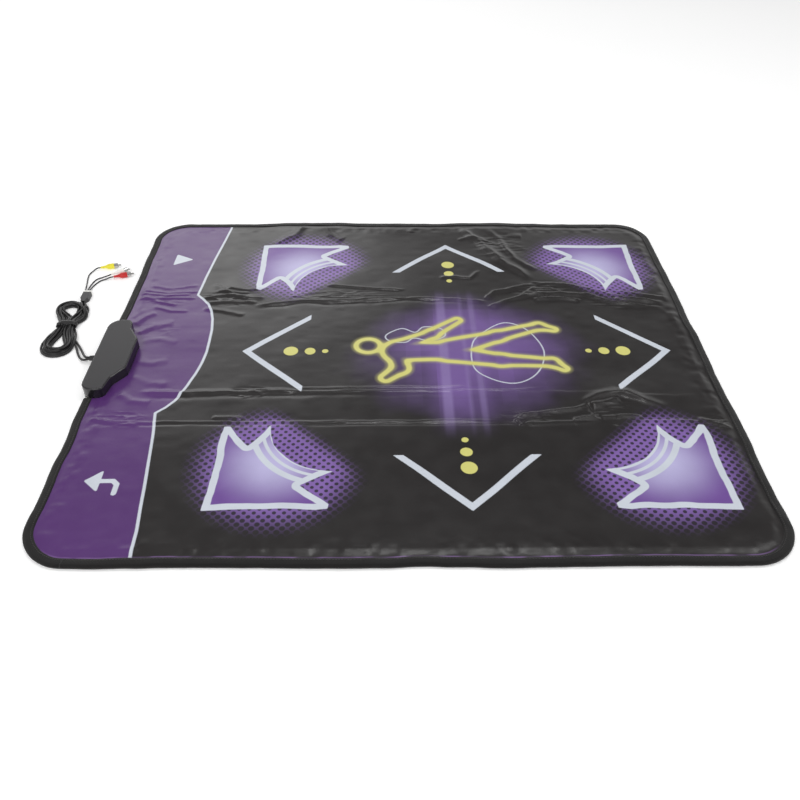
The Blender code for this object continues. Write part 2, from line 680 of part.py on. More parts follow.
def screw_places():
    """Where the screws that hold the two shells stand."""
    left = BOX_INNER_LEFT + BOSS_RADIUS + BOSS_FROM_WALL
    right = BOX_INNER_RIGHT - BOSS_RADIUS - BOSS_FROM_WALL
    bulge_near = BOX_NEAR_Y + NEAR_SHOULDER + SHOULDER_RUN
    bulge_far = BOX_FAR_Y - FAR_SHOULDER - SHOULDER_RUN
    return (
        (left, BOX_NEAR_Y + NEAR_BOSS_Y),
        (left, BOX_FAR_Y - FAR_BOSS_Y),
        (right, bulge_near + NEAR_BULGE_BOSS_Y),
        (right, bulge_far - FAR_BULGE_BOSS_Y),
    )


def build_lower_shell():
    """The lower shell: a tray with the battery opening, supports, counterbores and the tail's slot."""
    shell = slab("box_lower_shell", filleted(box_corners()), 0, BOX_SEAM, "black_plastic")
    cut(shell, slab("cut_lower_room", filleted(box_corners(BOX_WALL)), BOX_WALL, BOX_SEAM + REACH))
    cut(
        shell,
        block(
            "cut_tail_slot",
            (BOX_INNER_RIGHT - MM, TAIL_NEAR_Y - GAP, BOX_WALL + GAP),
            (BOX_RIGHT + REACH, TAIL_FAR_Y + GAP, BOX_SEAM + REACH),
        ),
    )
    opening = block(
        "cut_battery_opening",
        (BATTERY_X - DOOR_HALF - GAP, DOOR_NEAR_Y - GAP, -REACH),
        (BATTERY_X + DOOR_HALF + GAP, DOOR_FAR_Y + GAP, BOX_WALL + REACH),
    )
    lug_half = DOOR_LUG_WIDTH / 2 + GAP
    pocket = block(
        "cut_lug_pocket",
        (BATTERY_X - lug_half, DOOR_NEAR_Y - DOOR_LUG_LENGTH - GAP, -REACH),
        (BATTERY_X + lug_half, DOOR_NEAR_Y + MM, DOOR_THICKNESS + GAP),
    )
    roof = block(
        "join_lug_roof",
        (BATTERY_X - lug_half - LUG_ROOF, DOOR_NEAR_Y - DOOR_LUG_LENGTH - LUG_ROOF, MM),
        (BATTERY_X + lug_half + LUG_ROOF, DOOR_NEAR_Y - 2 * GAP, DOOR_THICKNESS + GAP + LUG_ROOF),
    )
    boss = rod("join_door_boss", BATTERY_X, DOOR_SCREW_Y, BOSS_RADIUS + MM, DOOR_THICKNESS + MM, BATTERY_Z)
    join(shell, roof, boss)
    cut(shell, opening, pocket)
    pilot = SCREW_RADIUS + 2 * GAP
    cut(shell, rod("cut_door_pilot", BATTERY_X, DOOR_SCREW_Y, pilot, -REACH, SCREW_LENGTH))
    for i, (x, y) in enumerate(screw_places()):
        head_room = SCREW_HEAD_HEIGHT + GAP
        cut(shell, rod(f"cut_head_{i}", x, y, SCREW_HEAD_RADIUS + GAP, -REACH, head_room))
        cut(shell, rod(f"cut_shank_{i}", x, y, SCREW_RADIUS + GAP, -REACH, BOX_SEAM + REACH))
    for i, side in enumerate((-1, 1)):
        y = BOARD_MIDDLE_Y + side * (BOARD_LENGTH / 2 - STANDOFF_INSET)
        x = BOARD_RIGHT - BOARD_WIDTH / 2 + STANDOFF_SHIFT
        join(shell, rod(f"join_standoff_{i}", x, y, STANDOFF_RADIUS, MM, BOARD_LIFT - GAP))
    half = RIB_WIDTH / 2
    plate_back = BATTERY_FAR_Y + 2 * GAP + CONTACT_THICKNESS
    spring_back = BATTERY_NEAR_Y - SPRING_LENGTH - CONTACT_THICKNESS - GAP
    far_rib = block(
        "join_far_rib",
        (BATTERY_X - half, plate_back, MM),
        (BATTERY_X + half, plate_back + RIB_THICKNESS, BATTERY_Z + RIB_TOP),
    )
    near_rib = block(
        "join_near_rib",
        (BATTERY_X - half, spring_back - RIB_THICKNESS, DOOR_THICKNESS + 2 * GAP),
        (BATTERY_X + half, spring_back, BATTERY_Z + RIB_TOP),
    )
    switch_rest = block(
        "join_switch_rest",
        (BOX_INNER_LEFT + GAP, SWITCH_Y - SWITCH_REST_WIDTH / 2, MM),
        (
            BOX_INNER_LEFT + SWITCH_WIDTH - SWITCH_REST_INSET,
            SWITCH_Y + SWITCH_REST_WIDTH / 2,
            SWITCH_Z - SWITCH_HEIGHT / 2 - GAP,
        ),
    )
    join(shell, far_rib, near_rib, switch_rest)


def build_screw(name, x, y, length):
    """A screw that stands head down in the underside."""
    profile = [
        (0, 0),
        (0, SCREW_HEAD_RADIUS),
        (SCREW_HEAD_HEIGHT, SCREW_HEAD_RADIUS),
        (SCREW_HEAD_HEIGHT, SCREW_RADIUS),
        (length - SCREW_POINT, SCREW_RADIUS),
        (length, 0),
    ]
    screw = turned(name, profile, segments=12)
    screw.rotation_euler = (0, -math.pi / 2, 0)
    screw.location = (x, y, 0)


def build_battery_door():
    """The door in the underside: a plate with a screw lug at one end and two tabs at the other."""
    door = block(
        "battery_door",
        (BATTERY_X - DOOR_HALF, DOOR_NEAR_Y, 0),
        (BATTERY_X + DOOR_HALF, DOOR_FAR_Y, DOOR_THICKNESS),
        "black_plastic",
    )
    lug = block(
        "join_lug",
        (BATTERY_X - DOOR_LUG_WIDTH / 2, DOOR_NEAR_Y - DOOR_LUG_LENGTH, 0),
        (BATTERY_X + DOOR_LUG_WIDTH / 2, DOOR_NEAR_Y + MM, DOOR_THICKNESS),
    )
    join(door, lug)
    tab_bottom = BOX_WALL + GAP
    for i, side in enumerate((-1, 1)):
        x = BATTERY_X + side * (DOOR_HALF - DOOR_TAB_WIDTH / 2 - DOOR_TAB_INSET)
        half = DOOR_TAB_WIDTH / 2
        stem = block(
            f"join_tab_stem_{i}",
            (x - half, DOOR_FAR_Y - DOOR_TAB_ROOT, MM),
            (x + half, DOOR_FAR_Y, tab_bottom + DOOR_TAB_THICKNESS / 2),
        )
        tab = block(
            f"join_tab_{i}",
            (x - half, DOOR_FAR_Y - DOOR_TAB_ROOT, tab_bottom),
            (x + half, DOOR_FAR_Y + DOOR_TAB_REACH, tab_bottom + DOOR_TAB_THICKNESS),
        )
        join(door, stem, tab)
    head_room = SCREW_HEAD_HEIGHT + GAP
    cut(door, rod("cut_door_head", BATTERY_X, DOOR_SCREW_Y, SCREW_HEAD_RADIUS + GAP, -REACH, head_room))
    cut(door, rod("cut_door_shank", BATTERY_X, DOOR_SCREW_Y, SCREW_RADIUS + GAP, -REACH, REACH))
    build_screw("battery_door_screw", BATTERY_X, DOOR_SCREW_Y, DOOR_SCREW_LENGTH)


def build_power():
    """The cells in line, with the sprung contact at one end and the flat one at the other."""
    radius = BATTERY_DIAMETER / 2
    shoulder = BATTERY_LENGTH - BATTERY_NUB_LENGTH
    profile = [
        (0, 0),
        (0, radius - BATTERY_ROUNDING),
        (BATTERY_ROUNDING, radius),
        (shoulder - BATTERY_ROUNDING, radius),
        (shoulder, radius - BATTERY_ROUNDING),
        (shoulder, BATTERY_NUB_RADIUS),
        (BATTERY_LENGTH, BATTERY_NUB_RADIUS),
        (BATTERY_LENGTH, 0),
    ]
    for i in range(BATTERY_COUNT):
        cell = turned(f"battery_{i + 1}", profile, "battery_case")
        cell.rotation_euler = (0, 0, math.pi / 2)
        cell.location = (BATTERY_X, BATTERY_NEAR_Y + GAP + i * (BATTERY_LENGTH + GAP), BATTERY_Z)
    spring_plate = BATTERY_NEAR_Y - SPRING_LENGTH
    spring_profile = [
        (0, 0),
        (0, CONTACT_WIDTH / 2),
        (CONTACT_THICKNESS, CONTACT_WIDTH / 2),
        (CONTACT_THICKNESS, SPRING_FOOT_RADIUS),
        (SPRING_LENGTH, SPRING_TIP_RADIUS),
        (SPRING_LENGTH, 0),
    ]
    spring = turned("battery_spring_contact", spring_profile)
    spring.rotation_euler = (0, 0, math.pi / 2)
    spring.location = (BATTERY_X, spring_plate, BATTERY_Z)
    half = CONTACT_WIDTH / 2
    plate_y = BATTERY_FAR_Y + GAP
    block(
        "battery_flat_contact",
        (BATTERY_X - half, plate_y, BATTERY_Z - half),
        (BATTERY_X + half, plate_y + CONTACT_THICKNESS, BATTERY_Z + half),
    )


def build_board():
    """The main board with its covered chip, the connector on it and the mat's flat tail."""
    near = BOARD_MIDDLE_Y - BOARD_LENGTH / 2
    left = BOARD_RIGHT - BOARD_WIDTH
    board = block(
        "main_board",
        (left, near, BOARD_LIFT),
        (BOARD_RIGHT, near + BOARD_LENGTH, BOARD_TOP),
        "circuit_board",
    )
    chip_x = left + CHIP_FROM_EDGE + CHIP_SIZE / 2
    chip = filleted(rectangle(chip_x, BOARD_MIDDLE_Y, CHIP_SIZE, CHIP_SIZE, CHIP_RADIUS))
    join(board, slab("join_chip", chip, BOARD_LIFT + MM, BOARD_TOP + CHIP_HEIGHT))
    socket_right = BOARD_RIGHT - CONNECTOR_FROM_EDGE
    socket_bottom = BOARD_TOP + GAP
    block(
        "membrane_connector",
        (socket_right - CONNECTOR_WIDTH, TAIL_NEAR_Y - CONNECTOR_END, socket_bottom),
        (socket_right, TAIL_FAR_Y + CONNECTOR_END, socket_bottom + CONNECTOR_HEIGHT),
        "white_plastic",
    )
    rise_x = (BOARD_RIGHT + BOX_INNER_RIGHT) / 2
    entry_z = BOX_WALL + 2 * GAP
    socket_z = socket_bottom + CONNECTOR_HEIGHT / 2
    path = [
        (BOX_RIGHT + TAIL_RUN - GAP, (FILM_BOTTOM + FILM_TOP) / 2),
        (BOX_RIGHT + MM, entry_z + FILM_THICKNESS),
        (rise_x + TAIL_BEND, entry_z + FILM_THICKNESS),
        (rise_x, entry_z + FILM_THICKNESS + TAIL_BEND),
        (rise_x, socket_z - TAIL_BEND),
        (rise_x - TAIL_BEND, socket_z),
        (socket_right + GAP, socket_z),
    ]
    ribbon(path)


def ribbon(path):
    """The tail, a strip of film that bends along a path seen from the front."""
    spots = [Vector(spot) for spot in path]
    sides = []
    for i, spot in enumerate(spots):
        ahead = (spots[min(i + 1, len(spots) - 1)] - spots[max(i - 1, 0)]).normalized()
        sides.append((spot, Vector((-ahead.y, ahead.x)) * FILM_THICKNESS / 2))
    around = [spot + side for spot, side in sides] + [spot - side for spot, side in reversed(sides)]
    bm = bmesh.new()
    face = bm.faces.new([bm.verts.new((x, TAIL_NEAR_Y, z)) for x, z in around])
    grown = bmesh.ops.extrude_face_region(bm, geom=[face])["geom"]
    moved = [v for v in grown if isinstance(v, bmesh.types.BMVert)]
    bmesh.ops.translate(bm, verts=moved, vec=(0, TAIL_WIDTH, 0))
    add_piece("ribbon_tail", bm, "film")


def build_switch():
    """The power switch: a body behind the left wall and a knob that slides in the wall's slot."""
    body_left = BOX_INNER_LEFT + GAP
    block(
        "power_switch_body",
        (body_left, SWITCH_Y - SWITCH_LENGTH / 2, SWITCH_Z - SWITCH_HEIGHT / 2),
        (body_left + SWITCH_WIDTH, SWITCH_Y + SWITCH_LENGTH / 2, SWITCH_Z + SWITCH_HEIGHT / 2),
        "black_plastic",
    )
    knob_y = SWITCH_Y - SWITCH_TRAVEL / 2
    knob = block(
        "power_switch_knob",
        (BOX_LEFT - SWITCH_STAND, knob_y - SWITCH_KNOB / 2, SWITCH_Z - SWITCH_KNOB_HEIGHT / 2),
        (BOX_INNER_LEFT, knob_y + SWITCH_KNOB / 2, SWITCH_Z + SWITCH_KNOB_HEIGHT / 2),
        "black_plastic",
    )
    ease = knob.modifiers.new("ease", "BEVEL")
    ease.width = KNOB_EASE
    ease.segments = 1


def build_gland():
    """The strain relief, whose flange sits inside the left wall and whose sleeve stands outside."""
    inside = BOX_WALL + GAP
    profile = [
        (-inside - GLAND_FLANGE, 0),
        (-inside - GLAND_FLANGE, GLAND_RADIUS - GAP),
        (-inside, GLAND_RADIUS - GAP),
        (-inside, GLAND_NECK_RADIUS),
        (GAP, GLAND_NECK_RADIUS),
        (GAP, GLAND_RADIUS),
        (GAP + GLAND_STRAIGHT, GLAND_RADIUS),
        (GAP + GLAND_LENGTH, GLAND_TIP_RADIUS),
        (GAP + GLAND_LENGTH, 0),
    ]
    gland = turned("cord_gland", profile, "cord_rubber")
    gland.rotation_euler = (0, 0, math.pi)
    gland.location = (BOX_LEFT, GLAND_Y, GLAND_Z)


def build_hank():
    """The cord's wound length with the tie round its waist."""
    base = TIE_THICKNESS + GAP
    route = [from_gland(*spot) for spot in HANK_OUTLINE]
    wrapped = [*route[-2:], *route, *route[:2]]
    outline = smooth_route(wrapped, 6 * MM)
    lap = [i for i, point in enumerate(outline) if (point - route[0]).length < MM / 100]
    loop = [point.xy for point in outline[lap[0] : lap[-1]]]
    slab("cord_hank", loop, base, base + HANK_THICKNESS, "cord_rubber")
    middle = from_gland(*WAIST)
    half = WAIST_HALF_WIDTH * MM
    top = base + HANK_THICKNESS
    tie = block(
        "cord_tie",
        (middle.x - half - TIE_THICKNESS, middle.y - TIE_WIDTH / 2, 0),
        (middle.x + half + TIE_THICKNESS, middle.y + TIE_WIDTH / 2, top + GAP + TIE_THICKNESS),
        "black_plastic",
    )
    tie_room = block(
        "cut_tie",
        (middle.x - half, middle.y - TIE_WIDTH, base - GAP),
        (middle.x + half, middle.y + TIE_WIDTH, top + GAP),
    )
    cut(tie, tie_room)


def build_splitter():
    """The moulded block where the cords part into three leads."""
    foot = from_gland(*SPLITTER_FOOT)
    half = SPLITTER_WIDTH / 2
    neck = SPLITTER_NECK_WIDTH / 2
    shoulder = foot.y + SPLITTER_NECK_LENGTH
    top = foot.y + SPLITTER_LENGTH
    corners = [
        (foot.x - neck, foot.y, SPLITTER_NECK_RADIUS),
        (foot.x + neck, foot.y, SPLITTER_NECK_RADIUS),
        (foot.x + neck, shoulder, SPLITTER_NECK_RADIUS),
        (foot.x + half, shoulder + SPLITTER_SLOPE, SPLITTER_RADIUS),
        (foot.x + half, top, SPLITTER_RADIUS),
        (foot.x - half, top, SPLITTER_RADIUS),
        (foot.x - half, shoulder + SPLITTER_SLOPE, SPLITTER_RADIUS),
        (foot.x - neck, shoulder, SPLITTER_NECK_RADIUS),
    ]
    slab("lead_splitter", filleted(corners), 0, SPLITTER_HEIGHT, "splitter_rubber")


def build_plug(colour):
    """A plug: the coloured grip, and its outer and inner contacts held together by their insulator."""
    place, turn = PLUG_PLACES[colour]
    grip = [
        (0, 0),
        (0, GRIP_BOOT_RADIUS),
        (GRIP_BOOT_LENGTH, GRIP_BOOT_RADIUS + GRIP_BOOT_FLARE),
        (GRIP_COLLAR_START, GRIP_RADIUS - GRIP_ROUNDING),
        (GRIP_COLLAR_END, GRIP_RADIUS),
        (GRIP_LENGTH - 2 * GRIP_ROUNDING, GRIP_RADIUS),
        (GRIP_LENGTH, GRIP_RADIUS - GRIP_ROUNDING),
        (GRIP_LENGTH, 0),
    ]
    start = GRIP_LENGTH + GAP
    floor = start + PLUG_FLOOR
    tip = floor + PLUG_PIN_LENGTH
    contacts = [
        (start, 0),
        (start, PLUG_SHELL_RADIUS),
        (start + PLUG_SHELL_LENGTH, PLUG_SHELL_RADIUS),
        (start + PLUG_SHELL_LENGTH, PLUG_SHELL_BORE),
        (floor, PLUG_SHELL_BORE),
        (floor, PLUG_PIN_RADIUS),
        (tip - PLUG_PIN_RADIUS / 2, PLUG_PIN_RADIUS),
        (tip, PLUG_PIN_RADIUS / 2),
        (tip, 0),
    ]
    for piece in (
        turned(f"plug_grip_{colour}", grip, f"{colour}_plastic"),
        turned(f"plug_contacts_{colour}", contacts, "steel"),
    ):
        piece.location = from_gland(*place) + Vector((0, 0, PLUG_HEIGHT * MM))
        piece.rotation_euler = (0, 0, math.radians(turn))


def main():
    for scene_object in list(bpy.data.objects):
        bpy.data.objects.remove(scene_object)
    build_mat()
    build_upper_shell()
    build_lower_shell()
    for i, (x, y) in enumerate(screw_places()):
        build_screw(f"shell_screw_{i + 1}", x, y, SCREW_LENGTH)
    build_battery_door()
    build_power()
    build_board()
    build_switch()
    build_gland()
    tube("video_cord", VIDEO_CORD_ROUTE, CORD_DIAMETER, "cord_rubber")
    tube("audio_cord", AUDIO_CORD_ROUTE, CORD_DIAMETER, "cord_rubber")
    build_hank()
    build_splitter()
    for colour in LEAD_ROUTES:
        tube(f"lead_{colour}", lead_route(colour), LEAD_DIAMETER, "cord_rubber")
        build_plug(colour)


main()
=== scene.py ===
import logging
import math
from collections.abc import Callable, Sequence
from dataclasses import dataclass, field
from enum import Enum

import bmesh
import bpy
import numpy as np
from bmesh.types import BMesh
from bpy.types import Material, Mesh, Node, NodeSocket as Socket, NodeTree, Object
from mathutils import Euler, Matrix, Vector


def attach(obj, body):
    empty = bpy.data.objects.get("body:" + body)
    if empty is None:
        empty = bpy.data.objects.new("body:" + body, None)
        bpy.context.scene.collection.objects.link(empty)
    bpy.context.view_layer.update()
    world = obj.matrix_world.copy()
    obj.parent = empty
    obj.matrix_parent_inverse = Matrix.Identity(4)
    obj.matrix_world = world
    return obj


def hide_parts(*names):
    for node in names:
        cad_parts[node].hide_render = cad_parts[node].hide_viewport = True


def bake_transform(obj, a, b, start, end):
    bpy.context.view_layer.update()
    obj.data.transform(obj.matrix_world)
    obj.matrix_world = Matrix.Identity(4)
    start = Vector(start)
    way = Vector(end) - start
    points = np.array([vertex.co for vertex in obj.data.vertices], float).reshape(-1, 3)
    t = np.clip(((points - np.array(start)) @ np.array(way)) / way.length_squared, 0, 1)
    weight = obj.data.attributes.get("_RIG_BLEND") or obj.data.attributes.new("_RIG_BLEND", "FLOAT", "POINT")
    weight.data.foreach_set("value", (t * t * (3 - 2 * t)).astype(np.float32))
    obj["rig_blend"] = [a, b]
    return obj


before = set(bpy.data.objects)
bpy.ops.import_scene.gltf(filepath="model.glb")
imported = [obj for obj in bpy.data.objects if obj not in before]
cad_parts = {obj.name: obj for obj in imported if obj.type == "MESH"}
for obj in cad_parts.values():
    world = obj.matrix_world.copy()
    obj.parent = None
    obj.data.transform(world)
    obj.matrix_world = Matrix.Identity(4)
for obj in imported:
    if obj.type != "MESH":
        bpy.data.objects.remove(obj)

logging.basicConfig(level=logging.INFO, format="%(message)s")
log = logging.getLogger("dance_mat")

MM = 0.001
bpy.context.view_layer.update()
ROOT_BODY = "middle_panel"
Array = np.ndarray
Points = Sequence[tuple[float, ...]]
Input = Socket | float | tuple


def rgb(red: float, green: float, blue: float) -> tuple[float, float, float, float]:
    """A displayed colour, 0 to 255 a channel, as the linear colour that shaders take."""
    shares = (red / 255, green / 255, blue / 255)
    return (*(c / 12.92 if c <= 0.04045 else ((c + 0.055) / 1.055) ** 2.4 for c in shares), 1.0)


# ---------------------------------------------------------------- sizes, in millimetres


@dataclass(frozen=True)
class Mat:
    """The mat lying flat, its middle at the origin. Bends are where a panel starts and ends its fold."""

    half_width: float = 465.0
    half_depth: float = 415.0
    corner: float = 60.0
    cover_z: float = 5.2
    near_bend: tuple[float, float] = (-163.0, -187.0)
    far_bend: tuple[float, float] = (125.0, 153.0)
    near_fold_y: float = -175.0
    box_gap: float = 0.3


@dataclass(frozen=True)
class Zone:
    """One pressure zone: its CAD body's name and its patch of cover."""

    name: str
    panel: str
    x: tuple[float, float]
    y: tuple[float, float]


MAT = Mat()
PANELS = {
    "near": ("near_panel", -413.0, MAT.near_bend[0]),
    "middle": (ROOT_BODY, MAT.near_bend[0], MAT.far_bend[0]),
    "far": ("far_panel", MAT.far_bend[0], 413.0),
}
COLUMNS = {"left": (-265.0, -85.0), "centre": (-11.0, 169.0), "right": (243.0, 423.0)}
ZONES = tuple(
    [Zone(f"step_zone_near_{side}", "near_panel", x, (-327.0, -187.0)) for side, x in COLUMNS.items()]
    + [Zone(f"step_zone_middle_{side}", ROOT_BODY, COLUMNS[side], (-71.0, 71.0))
       for side in ("left", "right")]
    + [Zone(f"step_zone_far_{side}", "far_panel", x, (187.0, 327.0)) for side, x in COLUMNS.items()]
    + [Zone("start_zone", "far_panel", (-437.0, -353.0), (211.0, 339.0)),
       Zone("back_zone", "near_panel", (-437.0, -353.0), (-339.0, -211.0))]
)
BOX_CORNERS = (
    # The control box's outline: x, y and the corner's radius.
    (-469.5, -111, 16), (-437, -111, 8), (-432, -84, 6), (-415, -59, 6),
    (-415, 14, 6), (-431.5, 42, 6), (-434.5, 65, 11), (-469.5, 65, 21),
)


# ---------------------------------------------------------------- plane geometry with numpy


def smooth(value: Array, low: float, high: float) -> Array:
    """0 below low and 1 above high, with a soft step between."""
    t = np.clip((value - low) / (high - low), 0, 1)
    return t * t * (3 - 2 * t)


def positive(value: Array) -> Array:
    """The value where it is well above 0, and nearly 0 where it is below, with a soft turn between."""
    return np.logaddexp(0, value * 4) / 4


def noise(x: Array, y: Array, size: float, seed: int) -> Array:
    """Smooth noise over the plane.

    Args:
        x: where, across.
        y: where, along.
        size: about how large its features are.
        seed: which noise; the same seed gives the same noise.
    Returns:
        Values from -1 to 1.
    """
    table = np.random.default_rng(seed).uniform(-1, 1, (64, 64))
    u, v = x / size + 31.7, y / size + 17.3
    i, j = np.floor(u).astype(int), np.floor(v).astype(int)
    a, b = u - i, v - j
    a, b = a**3 * (a * (6 * a - 15) + 10), b**3 * (b * (6 * b - 15) + 10)
    i0, i1, j0, j1 = i % 64, (i + 1) % 64, j % 64, (j + 1) % 64
    return ((table[i0, j0] * (1 - a) + table[i1, j0] * a) * (1 - b)
            + (table[i0, j1] * (1 - a) + table[i1, j1] * a) * b)


def to_line(x: Array, y: Array, line: Points) -> tuple[Array, Array, Array]:
    """Where points are beside a line.

    Args:
        x: the points' x.
        y: the points' y.
        line: the line's corners.
    Returns:
        The distance, the side (left is positive) and the share of the line's length there.
    """
    points = np.array(line, float)
    steps = np.diff(points, axis=0)
    lengths = np.hypot(*steps.T)
    before = np.concatenate([[0], np.cumsum(lengths)])
    best = np.full(x.shape, np.inf)
    side, along = np.zeros(x.shape), np.zeros(x.shape)
    for (px, py), (dx, dy), length, start in zip(points, steps, lengths, before):
        t = np.clip(((x - px) * dx + (y - py) * dy) / length**2, 0, 1)
        away = np.hypot(x - px - t * dx, y - py - t * dy)
        nearer = away < best
        best = np.where(nearer, away, best)
        side = np.where(nearer, np.sign(dx * (y - py) - dy * (x - px)), side)
        along = np.where(nearer, start + t * length, along)
    return best, side, along / before[-1]


def polygon_distance(x: Array, y: Array, corners: Points) -> Array:
    """Distance to a polygon's edge.

    Args:
        x: the points' x.
        y: the points' y.
        corners: the polygon's corners.
    Returns:
        The distances, negative inside.
    """
    crossings = np.zeros(x.shape, int)
    for (ax, ay), (bx, by) in zip(corners, [*corners[1:], corners[0]]):
        crosses = (ay > y) != (by > y)
        crossings += crosses & (x < ax + (y - ay) * (bx - ax) / (by - ay + 1e-12))
    away = to_line(x, y, [*corners, corners[0]])[0]
    return np.where(crossings % 2 == 1, -away, away)


def mat_inset(x: Array, y: Array) -> Array:
    """How far each point is inside the mat's outer edge."""
    qx, qy = np.abs(x) - MAT.half_width + MAT.corner, np.abs(y) - MAT.half_depth + MAT.corner
    return MAT.corner - np.hypot(np.maximum(qx, 0), np.maximum(qy, 0)) - np.minimum(np.maximum(qx, qy), 0)


def rounded(corners: Points) -> list[tuple[float, float]]:
    """A polygon's outline with its corners rounded.

    Args:
        corners: x, y and radius of each.
    Returns:
        The outline's points.
    """
    outline, spots = [], [Vector(c[:2]) for c in corners]
    for i, spot in enumerate(spots):
        radius = corners[i][2]
        back, ahead = (spots[i - 1] - spot).normalized(), (spots[(i + 1) % len(spots)] - spot).normalized()
        half = back.angle(ahead) / 2
        centre = spot + (back + ahead).normalized() * radius / math.sin(half)
        start, end = (spot + d * radius / math.tan(half) - centre for d in (back, ahead))
        first = math.atan2(start.y, start.x)
        turn = math.remainder(math.atan2(end.y, end.x) - first, math.tau)
        steps = max(3, math.ceil(abs(turn) / 0.12))
        angles = (first + turn * k / steps for k in range(steps + 1))
        outline += [tuple(centre + radius * Vector((math.cos(a), math.sin(a)))) for a in angles]
    return outline


def smooth_line(points: Points | Array, spacing: float, closed: bool = False) -> Array:
    """A Catmull-Rom line through points.

    Args:
        points: the points it passes through; a closed line's last is its first again.
        spacing: about how far apart the new points are.
        closed: whether its ends meet smoothly.
    Returns:
        The new points, one a row.
    """
    p = np.array(points, float)
    first, last = (p[-2], p[1]) if closed else (2 * p[0] - p[1], 2 * p[-1] - p[-2])
    p = np.vstack([first, p, last])
    out = []
    for a, b, c, d in zip(p, p[1:], p[2:], p[3:]):
        for t in np.arange(0, 1, 1 / max(2, math.ceil(np.linalg.norm(c - b) / spacing))):
            out.append(0.5 * (2 * b + (c - a) * t + (2 * a - 5 * b + 4 * c - d) * t**2
                              + (3 * b - a - 3 * c + d) * t**3))
    return np.array([*out, p[-2]])


def even_line(line: Array, spacing: float) -> Array:
    """The same line with its points evenly apart.

    Args:
        line: the points, one a row.
        spacing: about how far apart the new points are.
    Returns:
        The new points, one a row.
    """
    along = np.concatenate([[0], np.cumsum(np.linalg.norm(np.diff(line, axis=0), axis=1))])
    places = np.linspace(0, along[-1], round(along[-1] / spacing) + 1)
    return np.stack([np.interp(places, along, line[:, k]) for k in range(3)], 1)


def eased(line: Array, first: int, last: int, times: int) -> Array:
    """A line with some of its points drawn towards their neighbours.

    Args:
        line: the points.
        first: the first point that may move.
        last: the first point after them that may not.
        times: how many small moves to make.
    Returns:
        The points moved.
    """
    line = line.copy()
    for _ in range(times):
        line[first:last] = (line[first - 1:last - 1] + 2 * line[first:last] + line[first + 1:last + 1]) / 4
    return line


def line_length(line: Array) -> float:
    """The length of a line of points, in metres."""
    return float(np.linalg.norm(np.diff(line, axis=0), axis=1).sum()) * MM


BOX_OUTLINE = rounded(BOX_CORNERS)


def box_distance(x: Array, y: Array) -> Array:
    """Distance outside the control box's outline, worked out near the box only.

    Args:
        x: the points' x, in millimetres.
        y: the points' y, in millimetres.
    Returns:
        The distances, in millimetres.
    """
    out = np.full(x.shape, 50.0)
    near = (x < -395) & (np.abs(y + 23) < 110)
    out[near] = polygon_distance(x[near], y[near], BOX_OUTLINE)
    return out


def room_inside(inset: float) -> Callable[[Array, Array], Array]:
    """A function that is positive within the mat's edge, by inset, and clear of the box."""
    return lambda x, y: np.minimum(mat_inset(x, y) - inset, box_distance(x, y) - MAT.box_gap)


# ---------------------------------------------------------------- the cover's shape


@dataclass(frozen=True)
class Wrinkle:
    """A fold of the cover along a line. A skew above 0 makes its right side gentle and its left steep."""

    line: tuple[tuple[float, float], ...]
    height: float
    width: float
    skew: float = 0.0

    def lift(self, x: Array, y: Array) -> Array:
        """The wrinkle's height at each point.

        Args:
            x: the points' x, in millimetres.
            y: the points' y, in millimetres.
        Returns:
            The heights, in millimetres.
        """
        low, high = np.min(self.line, axis=0) - 5 * self.width, np.max(self.line, axis=0) + 5 * self.width
        near = (x > low[0]) & (x < high[0]) & (y > low[1]) & (y < high[1])
        out = np.zeros(x.shape)
        if not near.any():
            return out
        px, py = x[near], y[near]
        shift = noise(px, py, 34, 5) * self.width * 0.6 + noise(px, py, 11, 6) * self.width * 0.2
        away, side, share = to_line(px, py + shift, self.line)
        t = away * side / self.width
        ends = np.minimum(smooth(share, 0, 0.14), 1 - smooth(share, 0.86, 1))
        swing = 0.75 + 0.45 * noise(px, py, 31, 8)
        if self.skew:
            t = t / np.where(t * self.skew < 0, 1.7, 0.6)
        out[near] = 1.65 * self.height * ends * swing * np.exp(-t * t)
        return out


@dataclass(frozen=True)
class Crumple:
    """A patch of crumpled cover: its middle, its reach each way and the height of its folds."""

    x: float
    y: float
    reach_x: float
    reach_y: float
    height: float
    size: float = 14.0

    def lift(self, x: Array, y: Array) -> Array:
        """The crumpled folds' height at each point.

        Args:
            x: the points' x, in millimetres.
            y: the points' y, in millimetres.
        Returns:
            The heights, in millimetres.
        """
        share = np.hypot((x - self.x) / self.reach_x, (y - self.y) / self.reach_y)
        folds = 1 - 2.2 * np.abs(noise(0.55 * x + 0.5 * y, 2.2 * y, self.size, 21)) ** 0.8
        folds += 0.4 * (1 - 2.2 * np.abs(noise(0.5 * x - 0.8 * y, 1.8 * y, self.size * 0.6, 22)))
        return 0.75 * self.height * folds * (1 - smooth(share, 0.3, 1.0))


